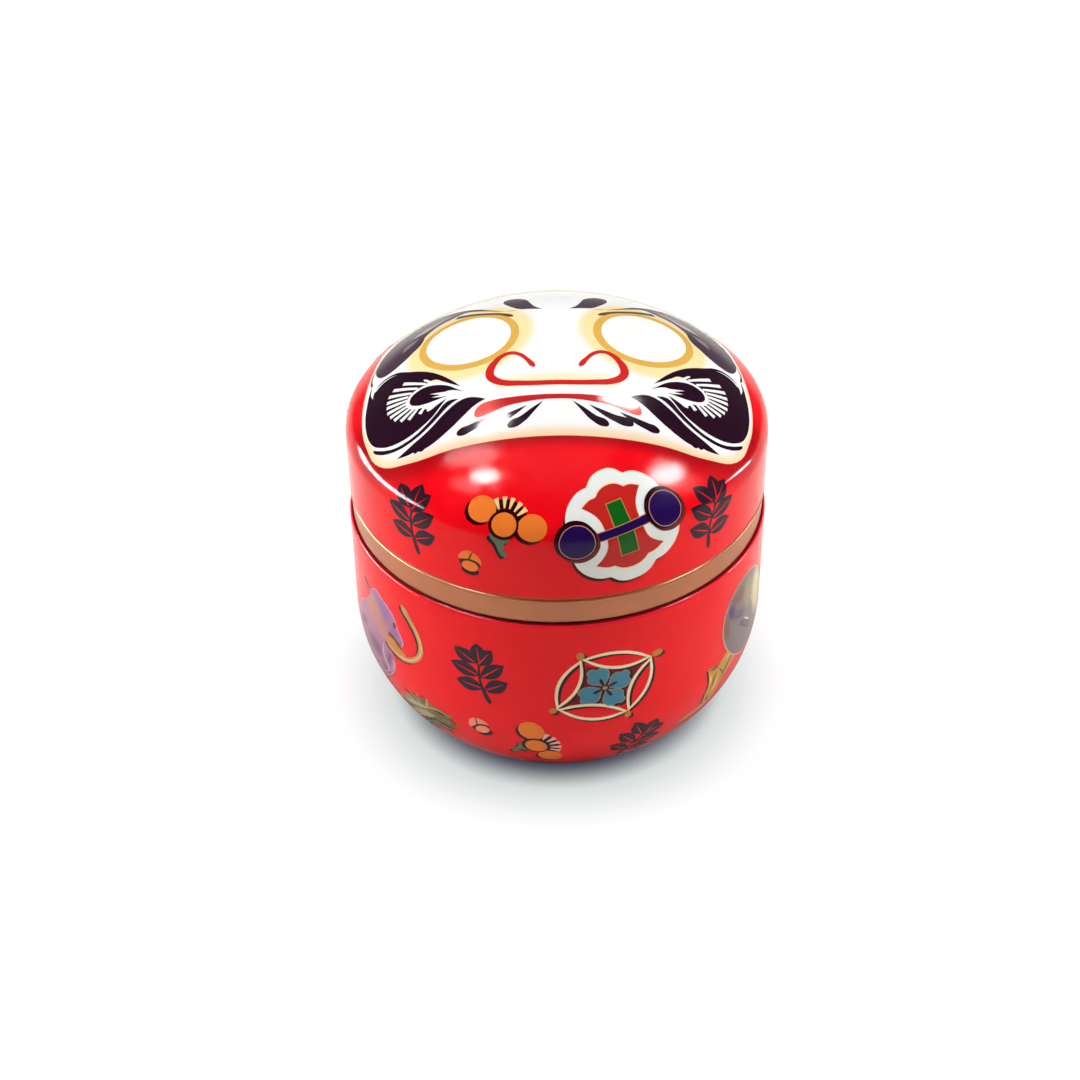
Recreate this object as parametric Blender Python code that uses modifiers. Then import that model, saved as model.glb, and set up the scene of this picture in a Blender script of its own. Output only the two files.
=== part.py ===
"""Round tea caddy pressed from tinplate, shaped and printed like a daruma doll.

A straight-sided bowl carries a necked sleeve in its mouth. A domed lid slides down over the
sleeve, and a pressed inner lid with a riveted knob closes the sleeve's mouth under it.
Metres, +Z up. The origin is the centre of the face that the caddy stands on.
"""

import math

import bpy

for old in list(bpy.data.objects):
    bpy.data.objects.remove(old)

MM = 0.001

# Sheet, fits and facets
TIN = 0.28 * MM  # thickness of the tinplate
FIT = 0.3 * MM  # clearance between pieces that seat on each other
CURL_TURN = math.radians(225)  # how far a cut edge is rolled over
ARC_SAG = 0.06 * MM  # how far a facet may stray from its arc
ROUND_STEPS = 48  # facets round the shells
SMALL_STEPS = 24  # facets round the knob and its rivet

# Lid: a drawn dome with a recessed band above its hem
LID_R = 40.0 * MM
LID_H = 36.3 * MM
LID_WALL_H = 16.85 * MM
SHOULDER_R = 5.8 * MM
BAND_H = 4.9 * MM
BAND_DEPTH = 0.25 * MM
BAND_STEP_H = 0.7 * MM
LID_HEM_BEND = 0.22 * MM  # inside radius of the rolled edge

# Body: a drawn bowl with a curled rim
BODY_PROUD = 0.4 * MM  # how far the body's wall stands out from the lid's
BODY_H = 46.5 * MM
BOWL_R = 30.0 * MM  # arc that turns the wall in towards the foot
BOWL_TURN = math.radians(56)  # slope that the arc has reached at the foot
FOOT_R = 3.0 * MM  # rounding between the bowl and the face it stands on
FOOT_RING_W = 5.0 * MM  # flat ring that touches the table
PANEL_RISE = 1.2 * MM  # base panel, pressed up clear of the table
PANEL_SLOPE_W = 1.5 * MM
RIM_BEND = 0.42 * MM  # inside radius of the curled rim
SEAM_GAP = 0.4 * MM  # open line between the lid's hem and the body's rim

# Neck: a sleeve held in the body's mouth, which guides the lid
NECK_ABOVE_RIM = 9.0 * MM
NECK_SEAT_H = 5.0 * MM  # stretch that presses against the body's wall
NECK_JOGGLE_H = 1.6 * MM  # slope between that stretch and the narrower guide
NECK_HEM_BEND = 0.22 * MM

# Inner lid: a pressed pan that plugs the neck
PLUG_DEPTH = 4.0 * MM
PAN_CORNER_R = 0.9 * MM
FLANGE_BEND = 0.32 * MM
STIFFENER_INSET = 12.0 * MM  # from the plug's wall to the middle of the pressed ring
STIFFENER_FOOT_W = 3.0 * MM
STIFFENER_TOP_W = 1.0 * MM
STIFFENER_H = 0.8 * MM

# Knob, from its foot up, and the rivet that holds it on the inner lid
KNOB_WALL = 1.4 * MM  # round the rivet's hole, at the waist
KNOB_FOOT_LIP = 1.2 * MM
KNOB_FOOT_H = 1.2 * MM
KNOB_FLARE_H = 1.2 * MM
KNOB_WAIST_H = 1.2 * MM
KNOB_UNDERCUT_H = 0.9 * MM
KNOB_EDGE_H = 0.6 * MM
KNOB_HEAD_LIP = 3.0 * MM
KNOB_HEAD_H = 3.9 * MM
RIVET_R = 1.5 * MM
RIVET_HEAD_LIP = 1.7 * MM
RIVET_HEAD_H = 0.9 * MM
RIVET_GRIP = 4.0 * MM  # length of the shank inside the knob

# Places that follow from the sizes above
BODY_R = LID_R + BODY_PROUD
RIM_CURL_R = RIM_BEND + TIN
BODY_MOUTH_R = BODY_R - 2 * RIM_CURL_R
LID_BASE_Z = BODY_H + SEAM_GAP
CROWN_Z = LID_BASE_Z + LID_H
BAND_R = LID_R - BAND_DEPTH
LID_HEM_R = LID_HEM_BEND + TIN
LID_MOUTH_R = BAND_R - 2 * LID_HEM_R
NECK_R = min(LID_MOUTH_R, BODY_MOUTH_R) - FIT
NECK_SEAT_R = BODY_R - TIN - FIT
NECK_TOP_Z = BODY_H + NECK_ABOVE_RIM
NECK_HEM_R = NECK_HEM_BEND + TIN
PLUG_R = NECK_R - 2 * NECK_HEM_R - FIT
FLANGE_TOP_Z = NECK_TOP_Z + FIT + TIN
PAN_TOP_Z = FLANGE_TOP_Z - PLUG_DEPTH
RIVET_HOLE_R = RIVET_R + FIT
KNOB_BASE_Z = PAN_TOP_Z + FIT

RED = (0.72, 0.012, 0.022)
TIN_GREY = (0.62, 0.62, 0.60)
KNOB_GOLD = (0.46, 0.27, 0.10)

caddy = bpy.data.collections.new("daruma_tea_caddy")
bpy.context.scene.collection.children.link(caddy)
standing_point = bpy.data.objects.new("standing_point", None)
caddy.objects.link(standing_point)


def principled(name, colour, roughness, metallic):
    made = bpy.data.materials.new(name)
    made.use_nodes = True
    shader = made.node_tree.nodes["Principled BSDF"]
    shader.inputs["Base Color"].default_value = (*colour, 1.0)
    shader.inputs["Roughness"].default_value = roughness
    shader.inputs["Metallic"].default_value = metallic
    return made


def arc(centre, radius, start, end, height=None):
    """Points (r, z) along an arc, both ends included. Angles run from +r towards +z.

    A height makes it an ellipse with that half-height.
    """
    step = 2 * math.acos(1 - min(ARC_SAG / radius, 1))
    count = max(1, math.ceil(abs(end - start) / step))
    angles = [start + (end - start) * i / count for i in range(count + 1)]
    half_height = height or radius
    return [(centre[0] + radius * math.cos(a), centre[1] + half_height * math.sin(a)) for a in angles]


def turned(name, profile, material, steps, wall=None):
    """An object turned about Z from (r, z) points. A wall gives an open profile its sheet thickness."""
    mesh = bpy.data.meshes.new(name)
    mesh.from_pydata([(r, 0.0, z) for r, z in profile], [(i, i + 1) for i in range(len(profile) - 1)], [])
    mesh.materials.append(material)
    piece = bpy.data.objects.new(name, mesh)
    caddy.objects.link(piece)
    piece.parent = standing_point
    spin = piece.modifiers.new("turn", "SCREW")
    spin.axis = "Z"
    spin.angle = 2 * math.pi
    spin.steps = steps
    spin.render_steps = steps
    spin.use_merge_vertices = True
    spin.merge_threshold = 0.00001
    spin.use_smooth_shade = True
    if wall:
        sheet = piece.modifiers.new("sheet", "SOLIDIFY")
        sheet.thickness = wall
        sheet.offset = -1.0
        sheet.use_even_offset = True


def body_shell(material):
    """Bowl, from the end of its curled rim over the outside to the middle of its base."""
    rim_centre = (BODY_R - RIM_CURL_R, BODY_H - RIM_CURL_R)
    bowl_drop = BOWL_R * math.sin(BOWL_TURN) + FOOT_R * (1 - math.sin(BOWL_TURN))
    bowl_centre = (BODY_R - BOWL_R, bowl_drop)
    foot_centre = (bowl_centre[0] + (BOWL_R - FOOT_R) * math.cos(BOWL_TURN), FOOT_R)
    panel_edge_r = foot_centre[0] - FOOT_RING_W
    profile = arc(rim_centre, RIM_CURL_R, CURL_TURN, 0)
    profile += arc(bowl_centre, BOWL_R, 0, -BOWL_TURN)
    profile += arc(foot_centre, FOOT_R, -BOWL_TURN, -math.pi / 2)[1:]
    profile += [(panel_edge_r, 0.0), (panel_edge_r - PANEL_SLOPE_W, PANEL_RISE), (0.0, PANEL_RISE)]
    turned("body_shell", profile, material, ROUND_STEPS, wall=TIN)


def lid_shell(material):
    """Dome, from the crown down over the shoulder, wall and band to the end of its hem."""
    shoulder_centre = (LID_R - SHOULDER_R, LID_BASE_Z + LID_WALL_H)
    # The crown is the sphere about the axis that reaches CROWN_Z and runs smoothly into the shoulder.
    reach = CROWN_Z - SHOULDER_R
    rise = reach**2 - shoulder_centre[0] ** 2 - shoulder_centre[1] ** 2
    crown_centre = (0.0, rise / (2 * (reach - shoulder_centre[1])))
    crown_r = CROWN_Z - crown_centre[1]
    join = math.atan2(shoulder_centre[1] - crown_centre[1], shoulder_centre[0])
    hem_centre = (BAND_R - LID_HEM_R, LID_BASE_Z + LID_HEM_R)
    band_top_z = LID_BASE_Z + BAND_H
    profile = [(0.0, CROWN_Z)]
    profile += arc(crown_centre, crown_r, math.pi / 2, join)[1:]
    profile += arc(shoulder_centre, SHOULDER_R, join, 0)[1:]
    profile += [(LID_R, band_top_z + BAND_STEP_H), (BAND_R, band_top_z)]
    profile += arc(hem_centre, LID_HEM_R, 0, -CURL_TURN)
    turned("lid_shell", profile, material, ROUND_STEPS, wall=TIN)


def neck_ring(material):
    """Sleeve whose wide lower part seats in the body and whose narrow upper part guides the lid."""
    hem_centre = (NECK_R - NECK_HEM_R, NECK_TOP_Z - NECK_HEM_R)
    joggle_top_z = BODY_H - 2 * RIM_CURL_R - FIT
    seat_top_z = joggle_top_z - NECK_JOGGLE_H
    profile = arc(hem_centre, NECK_HEM_R, CURL_TURN, 0)
    profile += [(NECK_R, joggle_top_z), (NECK_SEAT_R, seat_top_z), (NECK_SEAT_R, seat_top_z - NECK_SEAT_H)]
    turned("neck_ring", profile, material, ROUND_STEPS, wall=TIN)


def inner_lid(material):
    """Pan, along its upper face from the rivet hole over the stiffener and up to the flange's edge."""
    wall_r = PLUG_R - TIN
    flange_corner_r = FLANGE_BEND + TIN
    pan_centre = (wall_r - PAN_CORNER_R, PAN_TOP_Z + PAN_CORNER_R)
    flange_centre = (wall_r + flange_corner_r, FLANGE_TOP_Z - flange_corner_r)
    stiffener_r = PLUG_R - STIFFENER_INSET
    stiffener_top_z = PAN_TOP_Z + STIFFENER_H
    profile = [
        (RIVET_HOLE_R, PAN_TOP_Z),
        (stiffener_r - STIFFENER_FOOT_W / 2, PAN_TOP_Z),
        (stiffener_r - STIFFENER_TOP_W / 2, stiffener_top_z),
        (stiffener_r + STIFFENER_TOP_W / 2, stiffener_top_z),
        (stiffener_r + STIFFENER_FOOT_W / 2, PAN_TOP_Z),
    ]
    profile += arc(pan_centre, PAN_CORNER_R, -math.pi / 2, 0)
    profile += arc(flange_centre, flange_corner_r, math.pi, math.pi / 2)
    profile += [(NECK_R, FLANGE_TOP_Z)]
    turned("inner_lid", profile, material, ROUND_STEPS, wall=TIN)


def inner_lid_knob(material):
    """Mushroom knob with a blind hole for the rivet's shank."""
    waist_r = RIVET_HOLE_R + KNOB_WALL
    foot_r = waist_r + KNOB_FOOT_LIP
    head_r = waist_r + KNOB_HEAD_LIP
    foot_z = KNOB_BASE_Z + KNOB_FOOT_H
    waist_z = foot_z + KNOB_FLARE_H
    undercut_z = waist_z + KNOB_WAIST_H
    edge_z = undercut_z + KNOB_UNDERCUT_H
    head_z = edge_z + KNOB_EDGE_H
    hole_end_z = KNOB_BASE_Z + RIVET_GRIP + FIT
    profile = arc((0.0, head_z), head_r, math.pi / 2, 0, height=KNOB_HEAD_H)
    profile[0] = (0.0, head_z + KNOB_HEAD_H)
    profile += [(head_r, edge_z), (waist_r, undercut_z), (waist_r, waist_z)]
    profile += [(foot_r, foot_z), (foot_r, KNOB_BASE_Z)]
    profile += [(RIVET_HOLE_R, KNOB_BASE_Z), (RIVET_HOLE_R, hole_end_z), (0.0, hole_end_z)]
    turned("inner_lid_knob", profile, material, SMALL_STEPS)


def knob_rivet(material):
    """Rivet pushed up through the pan into the knob, with its domed head under the pan."""
    shank_top_z = KNOB_BASE_Z + RIVET_GRIP
    head_top_z = PAN_TOP_Z - TIN - FIT
    head_r = RIVET_R + RIVET_HEAD_LIP
    profile = [(0.0, shank_top_z), (RIVET_R, shank_top_z), (RIVET_R, head_top_z)]
    profile += arc((0.0, head_top_z), head_r, 0, -math.pi / 2, height=RIVET_HEAD_H)
    profile[-1] = (0.0, head_top_z - RIVET_HEAD_H)
    turned("knob_rivet", profile, material, SMALL_STEPS)


printed_red = principled("printed_red", RED, roughness=0.22, metallic=0.0)
bare_tin = principled("bare_tin", TIN_GREY, roughness=0.32, metallic=1.0)
gold_lacquer = principled("gold_lacquer", KNOB_GOLD, roughness=0.3, metallic=1.0)

body_shell(printed_red)
neck_ring(bare_tin)
inner_lid(bare_tin)
inner_lid_knob(gold_lacquer)
knob_rivet(bare_tin)
lid_shell(printed_red)
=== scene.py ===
import bmesh
import bpy
import math
from mathutils import Matrix, Vector


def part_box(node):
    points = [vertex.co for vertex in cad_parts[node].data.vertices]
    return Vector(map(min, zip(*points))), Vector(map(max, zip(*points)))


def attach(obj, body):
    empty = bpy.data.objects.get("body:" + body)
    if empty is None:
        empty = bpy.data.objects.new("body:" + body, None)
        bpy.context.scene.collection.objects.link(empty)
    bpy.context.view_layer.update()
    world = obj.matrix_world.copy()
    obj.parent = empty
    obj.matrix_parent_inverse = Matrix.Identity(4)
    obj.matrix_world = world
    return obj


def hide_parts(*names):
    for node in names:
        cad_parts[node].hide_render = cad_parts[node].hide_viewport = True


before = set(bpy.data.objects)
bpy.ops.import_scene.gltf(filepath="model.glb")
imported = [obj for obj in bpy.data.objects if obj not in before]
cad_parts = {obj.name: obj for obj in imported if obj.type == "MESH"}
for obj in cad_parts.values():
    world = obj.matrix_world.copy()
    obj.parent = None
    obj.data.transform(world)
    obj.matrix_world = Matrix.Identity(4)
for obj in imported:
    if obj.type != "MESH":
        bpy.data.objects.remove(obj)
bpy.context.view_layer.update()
scene = bpy.context.scene
scene.view_settings.view_transform = "Standard"
mm = 0.001
tiny = 1e-6
print("frame loaded")

cameraView = {
    "place": (-3.48, -313.38, 279.67), "down": 37.99, "roll": -0.73, "lens": 66.667, "sensor": 36.0, "near": 0.01}


def setCamera(view):
    data = bpy.data.cameras.new("photoCamera")
    data.lens = view["lens"]
    data.sensor_width = view["sensor"]
    data.clip_start = view["near"]
    camera = bpy.data.objects.new("photoCamera", data)
    scene.collection.objects.link(camera)
    tilt = Matrix.Rotation(math.radians(90 - view["down"]), 4, "X")
    roll = Matrix.Rotation(math.radians(view["roll"]), 4, "Z")
    camera.matrix_world = Matrix.Translation(Vector(view["place"]) * mm) @ (tilt @ roll)
    scene.camera = camera


setCamera(cameraView)


def linear(rgb):  # printed colour, 0 to 255, as a shader colour
    return tuple(c / 255 / 12.92 if c < 10.3 else ((c / 255 + 0.055) / 1.055) ** 2.4 for c in rgb) + (1.0,)


def link(tree, source, target):  # another node's output, or a plain value
    if isinstance(source, (int, float, tuple)):
        target.default_value = source
    else:
        tree.links.new(source, target)


def newNode(tree, kind, feeds, out=0, **settings):
    node = tree.nodes.new("ShaderNode" + kind)
    for label, value in settings.items():
        setattr(node, label, value)
    for label, value in feeds.items():
        link(tree, value, node.inputs[label])
    return node.outputs[out]


def noiseNode(tree, coord, scale, detail, rough=0.5):
    return newNode(tree, "TexNoise", {"Vector": coord, "Scale": scale, "Detail": detail, "Roughness": rough}, "Fac")


def mapRange(tree, value, fromLow, fromHigh, toLow, toHigh):
    feeds = {"Value": value, "From Min": fromLow, "From Max": fromHigh, "To Min": toLow, "To Max": toHigh}
    return newNode(tree, "MapRange", feeds, "Result")


def mathNode(tree, kind, first, second=0.0):
    return newNode(tree, "Math", {0: first, 1: second}, operation=kind)


def mixColour(tree, factor, first, second):
    return newNode(tree, "Mix", {0: factor, 6: first, 7: second}, 2, data_type="RGBA")


def maskNode(tree, label):  # a mask painted on the piece's own vertices
    return newNode(tree, "Attribute", {}, "Fac", attribute_name=label)


def openTone(name, inputs):
    group = bpy.data.node_groups.new(name, "ShaderNodeTree")
    for label, value in inputs.items():
        kind = "NodeSocketColor" if isinstance(value, tuple) else "NodeSocketFloat"
        group.interface.new_socket(name=label, in_out="INPUT", socket_type=kind).default_value = value
    for label, kind in (("Colour", "NodeSocketColor"), ("Roughness", "NodeSocketFloat"),
        ("Height", "NodeSocketFloat")):
        group.interface.new_socket(name=label, in_out="OUTPUT", socket_type=kind)
    return group, group.nodes.new("NodeGroupInput").outputs, newNode(group, "TexCoord", {}, "Object")


def sharedTone(group, first, second, share):
    shares = [mathNode(group, "MULTIPLY", first, 1 - share), mathNode(group, "MULTIPLY", second, share)]
    return mathNode(group, "ADD", *shares)


def closeTone(group, into, shade, uneven, spread, height):
    tint = newNode(group, "HueSaturation", {"Value": shade, "Color": into["Colour"]}, "Color")
    change = mathNode(group, "MULTIPLY", mathNode(group, "SUBTRACT", uneven, 0.5), spread)
    out = group.nodes.new("NodeGroupOutput").inputs
    for label, result in (("Colour", tint), ("Roughness", mathNode(group, "ADD", into["Gloss"], change)),
        ("Height", height)):
        link(group, result, out[label])
    return group


inkGrain = {  # each noise has a scale and a detail
    "cloud": (170.0, 3.0), "grain": (3600.0, 1.0), "grainShare": 0.25, "between": (0.32, 0.68),
    "gloss": (420.0, 4.0), "glossSpread": 0.16, "peel": (650.0, 1.0)}


def makePrintTone(look):  # cloudy ink, fine screen grain and the lacquer's faint orange peel
    group, into, coord = openTone("printTone", {"Colour": (0.8, 0.8, 0.8, 1.0), "Cloud": 0.05, "Gloss": 0.2})
    cloud = noiseNode(group, coord, *look["cloud"])
    both = sharedTone(group, cloud, noiseNode(group, coord, *look["grain"]), look["grainShare"])
    darkest, lightest = [mathNode(group, kind, 1.0, into["Cloud"]) for kind in ("SUBTRACT", "ADD")]
    shade = mapRange(group, both, *look["between"], darkest, lightest)
    uneven = noiseNode(group, coord, *look["gloss"])
    return closeTone(group, into, shade, uneven, look["glossSpread"], noiseNode(group, coord, *look["peel"]))


tinGrain = {
    "rings": (5200.0, 2.0, 0.7), "stain": (95.0, 4.0), "stainShare": 0.5, "between": (0.3, 0.7),
    "shades": (0.84, 1.1), "glossSpread": 0.35}


def makeBrushedTin(look):  # turned metal: fine rings round the caddy's axis
    group, into, coord = openTone("brushedTin", {"Colour": (0.6, 0.6, 0.6, 1.0), "Gloss": 0.3})
    split = group.nodes.new("ShaderNodeSeparateXYZ")
    link(group, coord, split.inputs[0])
    squares = [mathNode(group, "MULTIPLY", split.outputs[i], split.outputs[i]) for i in (0, 1)]
    radius = mathNode(group, "SQRT", mathNode(group, "ADD", *squares))
    turned = newNode(group, "CombineXYZ", {0: radius, 2: split.outputs[2]})
    rings = noiseNode(group, turned, *look["rings"])
    both = sharedTone(group, rings, noiseNode(group, coord, *look["stain"]), look["stainShare"])
    shade = mapRange(group, both, *look["between"], *look["shades"])
    return closeTone(group, into, shade, both, look["glossSpread"], rings)


printTone = makePrintTone(inkGrain)
brushedTin = makeBrushedTin(tinGrain)
reliefDepth = 0.05 * mm
coatGloss = 0.08


def finishMaterial(name, group, values, bump, sockets):
    material = bpy.data.materials.new(name)
    material.use_nodes = True
    tree = material.node_tree
    shader = tree.nodes["Principled BSDF"]
    tone = tree.nodes.new("ShaderNodeGroup")
    tone.node_tree = group
    for label, value in values.items():
        tone.inputs[label].default_value = value
    link(tree, tone.outputs["Colour"], shader.inputs["Base Color"])
    link(tree, tone.outputs["Roughness"], shader.inputs["Roughness"])
    relief = tree.nodes.new("ShaderNodeBump")
    relief.inputs["Strength"].default_value = bump
    relief.inputs["Distance"].default_value = reliefDepth
    link(tree, tone.outputs["Height"], relief.inputs["Height"])
    link(tree, relief.outputs["Normal"], shader.inputs["Normal"])
    for label, value in sockets.items():
        shader.inputs[label].default_value = value
    return material, tree, shader, tone


lacquer = {"gloss": 0.12, "cloud": 0.03, "bump": 0.08, "specular": 0.17, "sheen": 0.25, "sheenSpread": 0.3}


def inkMaterial(name, rgb, cloud=lacquer["cloud"]):
    values = {"Colour": linear(rgb), "Cloud": cloud, "Gloss": lacquer["gloss"]}
    sockets = {"Specular IOR Level": "specular", "Sheen Weight": "sheen", "Sheen Roughness": "sheenSpread"}
    return finishMaterial(name, printTone, values, lacquer["bump"],
        {label: lacquer[key] for label, key in sockets.items()})


def metalMaterial(name, rgb, gloss, metallic, bump, coat):
    values = {"Colour": linear(rgb), "Gloss": gloss}
    return finishMaterial(name, brushedTin, values, bump,
        {"Metallic": metallic, "Coat Weight": coat, "Coat Roughness": coatGloss})[0]


inkColours = {
    # the body rim's dark red is painted shade and its lighter red a painted highlight; the brown in the groove over
    # the lid's band is painted shade
    "red": (252, 8, 24), "deepRed": (178, 8, 20), "grooveShade": (186, 84, 46), "rimPaintedShade": (128, 4, 10),
    "rimPaintedHighlight": (255, 34, 56), "white": (250, 250, 248), "cream": (255, 238, 196), "peach": (250, 214, 168),
    "tan": (206, 198, 158), "eyeGold": (228, 178, 82), "aubergine": (40, 15, 33), "browGrey": (74, 54, 68),
    "feather": (140, 122, 130), "blush": (186, 168, 170), "lidBrown": (92, 66, 50), "noseRed": (212, 40, 36),
    "lipRed": (200, 36, 40), "lipCoral": (242, 92, 80), "orange": (250, 130, 48), "shadow": (46, 4, 12),
    "maroon": (118, 12, 28), "leafGreen": (96, 120, 92), "rayCream": (252, 216, 142),
    "ornamentWhite": (246, 249, 245), "ornamentRed": (206, 40, 34), "discPurple": (40, 14, 84),
    "discBrown": (120, 40, 26), "ringPink": (206, 152, 140), "barEdge": (206, 150, 92), "barGreen": (18, 100, 26),
    "petalBlue": (72, 140, 164), "petalGrey": (158, 138, 124), "knobGold": (208, 134, 60), "cordGold": (208, 152, 92),
    "cordLight": (236, 190, 128), "lilac": (174, 114, 150), "lilacShade": (122, 80, 116),
    "lilacLight": (206, 160, 188), "lilacWarm": (198, 128, 116), "lilacCool": (150, 104, 164),
    "straw": (122, 114, 76), "strawLight": (188, 174, 128), "strawShade": (72, 56, 34), "hatGrey": (124, 114, 114),
    "hatShade": (78, 58, 92), "hatMauve": (104, 86, 106), "hatBrown": (128, 84, 70), "hatEdge": (226, 166, 140),
    "hatOlive": (150, 142, 100), "hatPale": (226, 212, 158), "malletGold": (204, 150, 66),
    "malletLight": (240, 196, 116), "malletShade": (134, 82, 34), "sprayDark": (50, 26, 42),
    "salmon": (255, 154, 122), "rayPink": (252, 200, 188)}

inks = {name: inkMaterial(name + "Ink", rgb)[0] for name, rgb in inkColours.items()}
bandTone = (192, 116, 71)
bandGold = metalMaterial("bandGold", bandTone, gloss=0.36, metallic=0.25, bump=0.08, coat=0.15)
beadGold = metalMaterial("beadGold", bandTone, gloss=0.22, metallic=0.3, bump=0.05, coat=0.3)
bareTin = metalMaterial("bareTin", (205, 205, 200), gloss=0.3, metallic=1.0, bump=0.15, coat=0.0)
knobGold = metalMaterial("knobGold", (202, 156, 92), gloss=0.22, metallic=0.9, bump=0.1, coat=0.4)
print("materials made")


def blendInk(name, rgb, layers):  # an ink that runs into others where the piece's own masks say so
    material, tree, shader, tone = inkMaterial(name, rgb)
    colour = linear(rgb)
    for label, other in layers:
        colour = mixColour(tree, maskNode(tree, label), colour, linear(other))
    link(tree, colour, tone.inputs["Colour"])
    return material


def arcPoints(centre, radius, startDeg, endDeg, steps):
    turns = [math.radians(startDeg + (endDeg - startDeg) * i / steps) for i in range(steps + 1)]
    return [(centre[0] + radius * math.cos(a), centre[1] + radius * math.sin(a)) for a in turns]


turnWeld = 1e-7  # points nearer than this are one


def turnedPiece(name, profile, steps, materials, pickSlot=None, tin=None, sharp=14):
    bm = bmesh.new()
    verts = [bm.verts.new((r * mm, 0, z * mm)) for r, z in profile]
    edges = [bm.edges.new(pair) for pair in zip(verts, verts[1:])]
    bmesh.ops.spin(bm, geom=verts + edges, cent=(0, 0, 0), axis=(0, 0, 1), angle=math.tau, steps=steps,
        use_merge=True)
    bmesh.ops.remove_doubles(bm, verts=bm.verts[:], dist=turnWeld)
    bmesh.ops.recalc_face_normals(bm, faces=bm.faces[:])
    for face in bm.faces:
        face.smooth = True
        middle = face.calc_center_median() / mm
        face.material_index = pickSlot(math.hypot(middle.x, middle.y), middle.z) if pickSlot else 0
    mesh = bpy.data.meshes.new(name)
    bm.to_mesh(mesh)
    bm.free()
    mesh.set_sharp_from_angle(angle=math.radians(sharp))
    piece = bpy.data.objects.new(name, mesh)
    scene.collection.objects.link(piece)
    for material in materials + ([bareTin] * len(materials) if tin else []):
        mesh.materials.append(material)
    if tin:  # one thickness of tinplate, bare on the inside
        wall = piece.modifiers.new("tinplate", "SOLIDIFY")
        wall.thickness = tin * mm
        wall.offset = -1
        wall.material_offset = wall.material_offset_rim = len(materials)
    return piece


caddy = {"tin": 0.28, "steps": 240, "curl": 225, "curlSteps": 24}

lidShape = {
    "radius": 40.0, "height": 36.3, "wall": 16.85, "shoulder": 5.8, "band": 4.9, "groove": (1.05, 0.5), "bead": 0.4,
    "beadRise": 0.1, "beadSink": 0.12, "bandDepth": 0.25, "hem": 0.5, "domeSteps": 44, "shoulderSteps": 16,
    "beadTurns": (72, -60), "beadSteps": 14}
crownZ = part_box("lid_shell")[1][2] / mm
lidBase = crownZ - lidShape["height"]
shoulderIn = lidShape["radius"] - lidShape["shoulder"]
shoulderZ = lidBase + lidShape["wall"]
crownDrop = crownZ - shoulderZ
domeRadius = (shoulderIn ** 2 + crownDrop ** 2 - lidShape["shoulder"] ** 2) / (2 * (crownDrop - lidShape["shoulder"]))
domeZ = crownZ - domeRadius
domeTurn = math.atan2(shoulderIn, shoulderZ - domeZ)  # from the crown to where the shoulder starts
domeArc = domeRadius * domeTurn
shoulderArc = domeArc + lidShape["shoulder"] * (math.pi / 2 - domeTurn)
bandTop = lidBase + lidShape["band"]
bandRadius = lidShape["radius"] - lidShape["bandDepth"]


def makeLid():
    shape = lidShape
    start = 90 - math.degrees(domeTurn)
    profile = arcPoints((0, domeZ), domeRadius, 90, start, shape["domeSteps"])
    profile += arcPoints((shoulderIn, shoulderZ), shape["shoulder"], start, 0, shape["shoulderSteps"])[1:]
    grooveTop, grooveFoot = [bandTop + rise for rise in shape["groove"]]
    profile += [(shape["radius"], grooveTop)]
    beadCentre = (bandRadius - shape["beadSink"], bandTop + shape["beadRise"])
    profile += arcPoints(beadCentre, shape["bead"], *shape["beadTurns"], shape["beadSteps"])
    hemCentre = (bandRadius - shape["hem"], lidBase + shape["hem"])
    profile += arcPoints(hemCentre, shape["hem"], 0, -caddy["curl"], caddy["curlSteps"])
    beadFoot = bandTop - shape["beadSink"]
    # the groove over the band gets a darker brown, painted shade
    pick = lambda r, z: 1 if z < beadFoot else 3 if z < grooveFoot else 2 if z < grooveTop else 0
    red = blendInk("lidRedInk", inkColours["red"], [("faceShade", inkColours["deepRed"])])
    materials = [red, bandGold, inks["grooveShade"], beadGold]
    lid = turnedPiece("lidShell", profile, caddy["steps"], materials, pick, caddy["tin"])
    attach(lid, "lid")
    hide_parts("lid_shell")


makeLid()

bodyShape = {
    "radius": 40.4, "height": 46.5, "bowl": 30.0, "bowlTurn": 56, "foot": 3.0, "footRing": 5.0, "panelRise": 1.2,
    "panelSlope": 1.5, "rim": 0.7, "rimRise": 0.25, "rimTurns": (60, 8), "bowlSteps": 36, "footSteps": 10,
    "panelEdge": 0.1, "panelBelow": 2.0}
bowlIn = bodyShape["radius"] - bodyShape["bowl"]
footReach = bodyShape["bowl"] - bodyShape["foot"]
footIn = bowlIn + footReach * math.cos(math.radians(bodyShape["bowlTurn"]))
bowlZ = bodyShape["foot"] + footReach * math.sin(math.radians(bodyShape["bowlTurn"]))
wallArc = bodyShape["height"] - bowlZ


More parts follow.
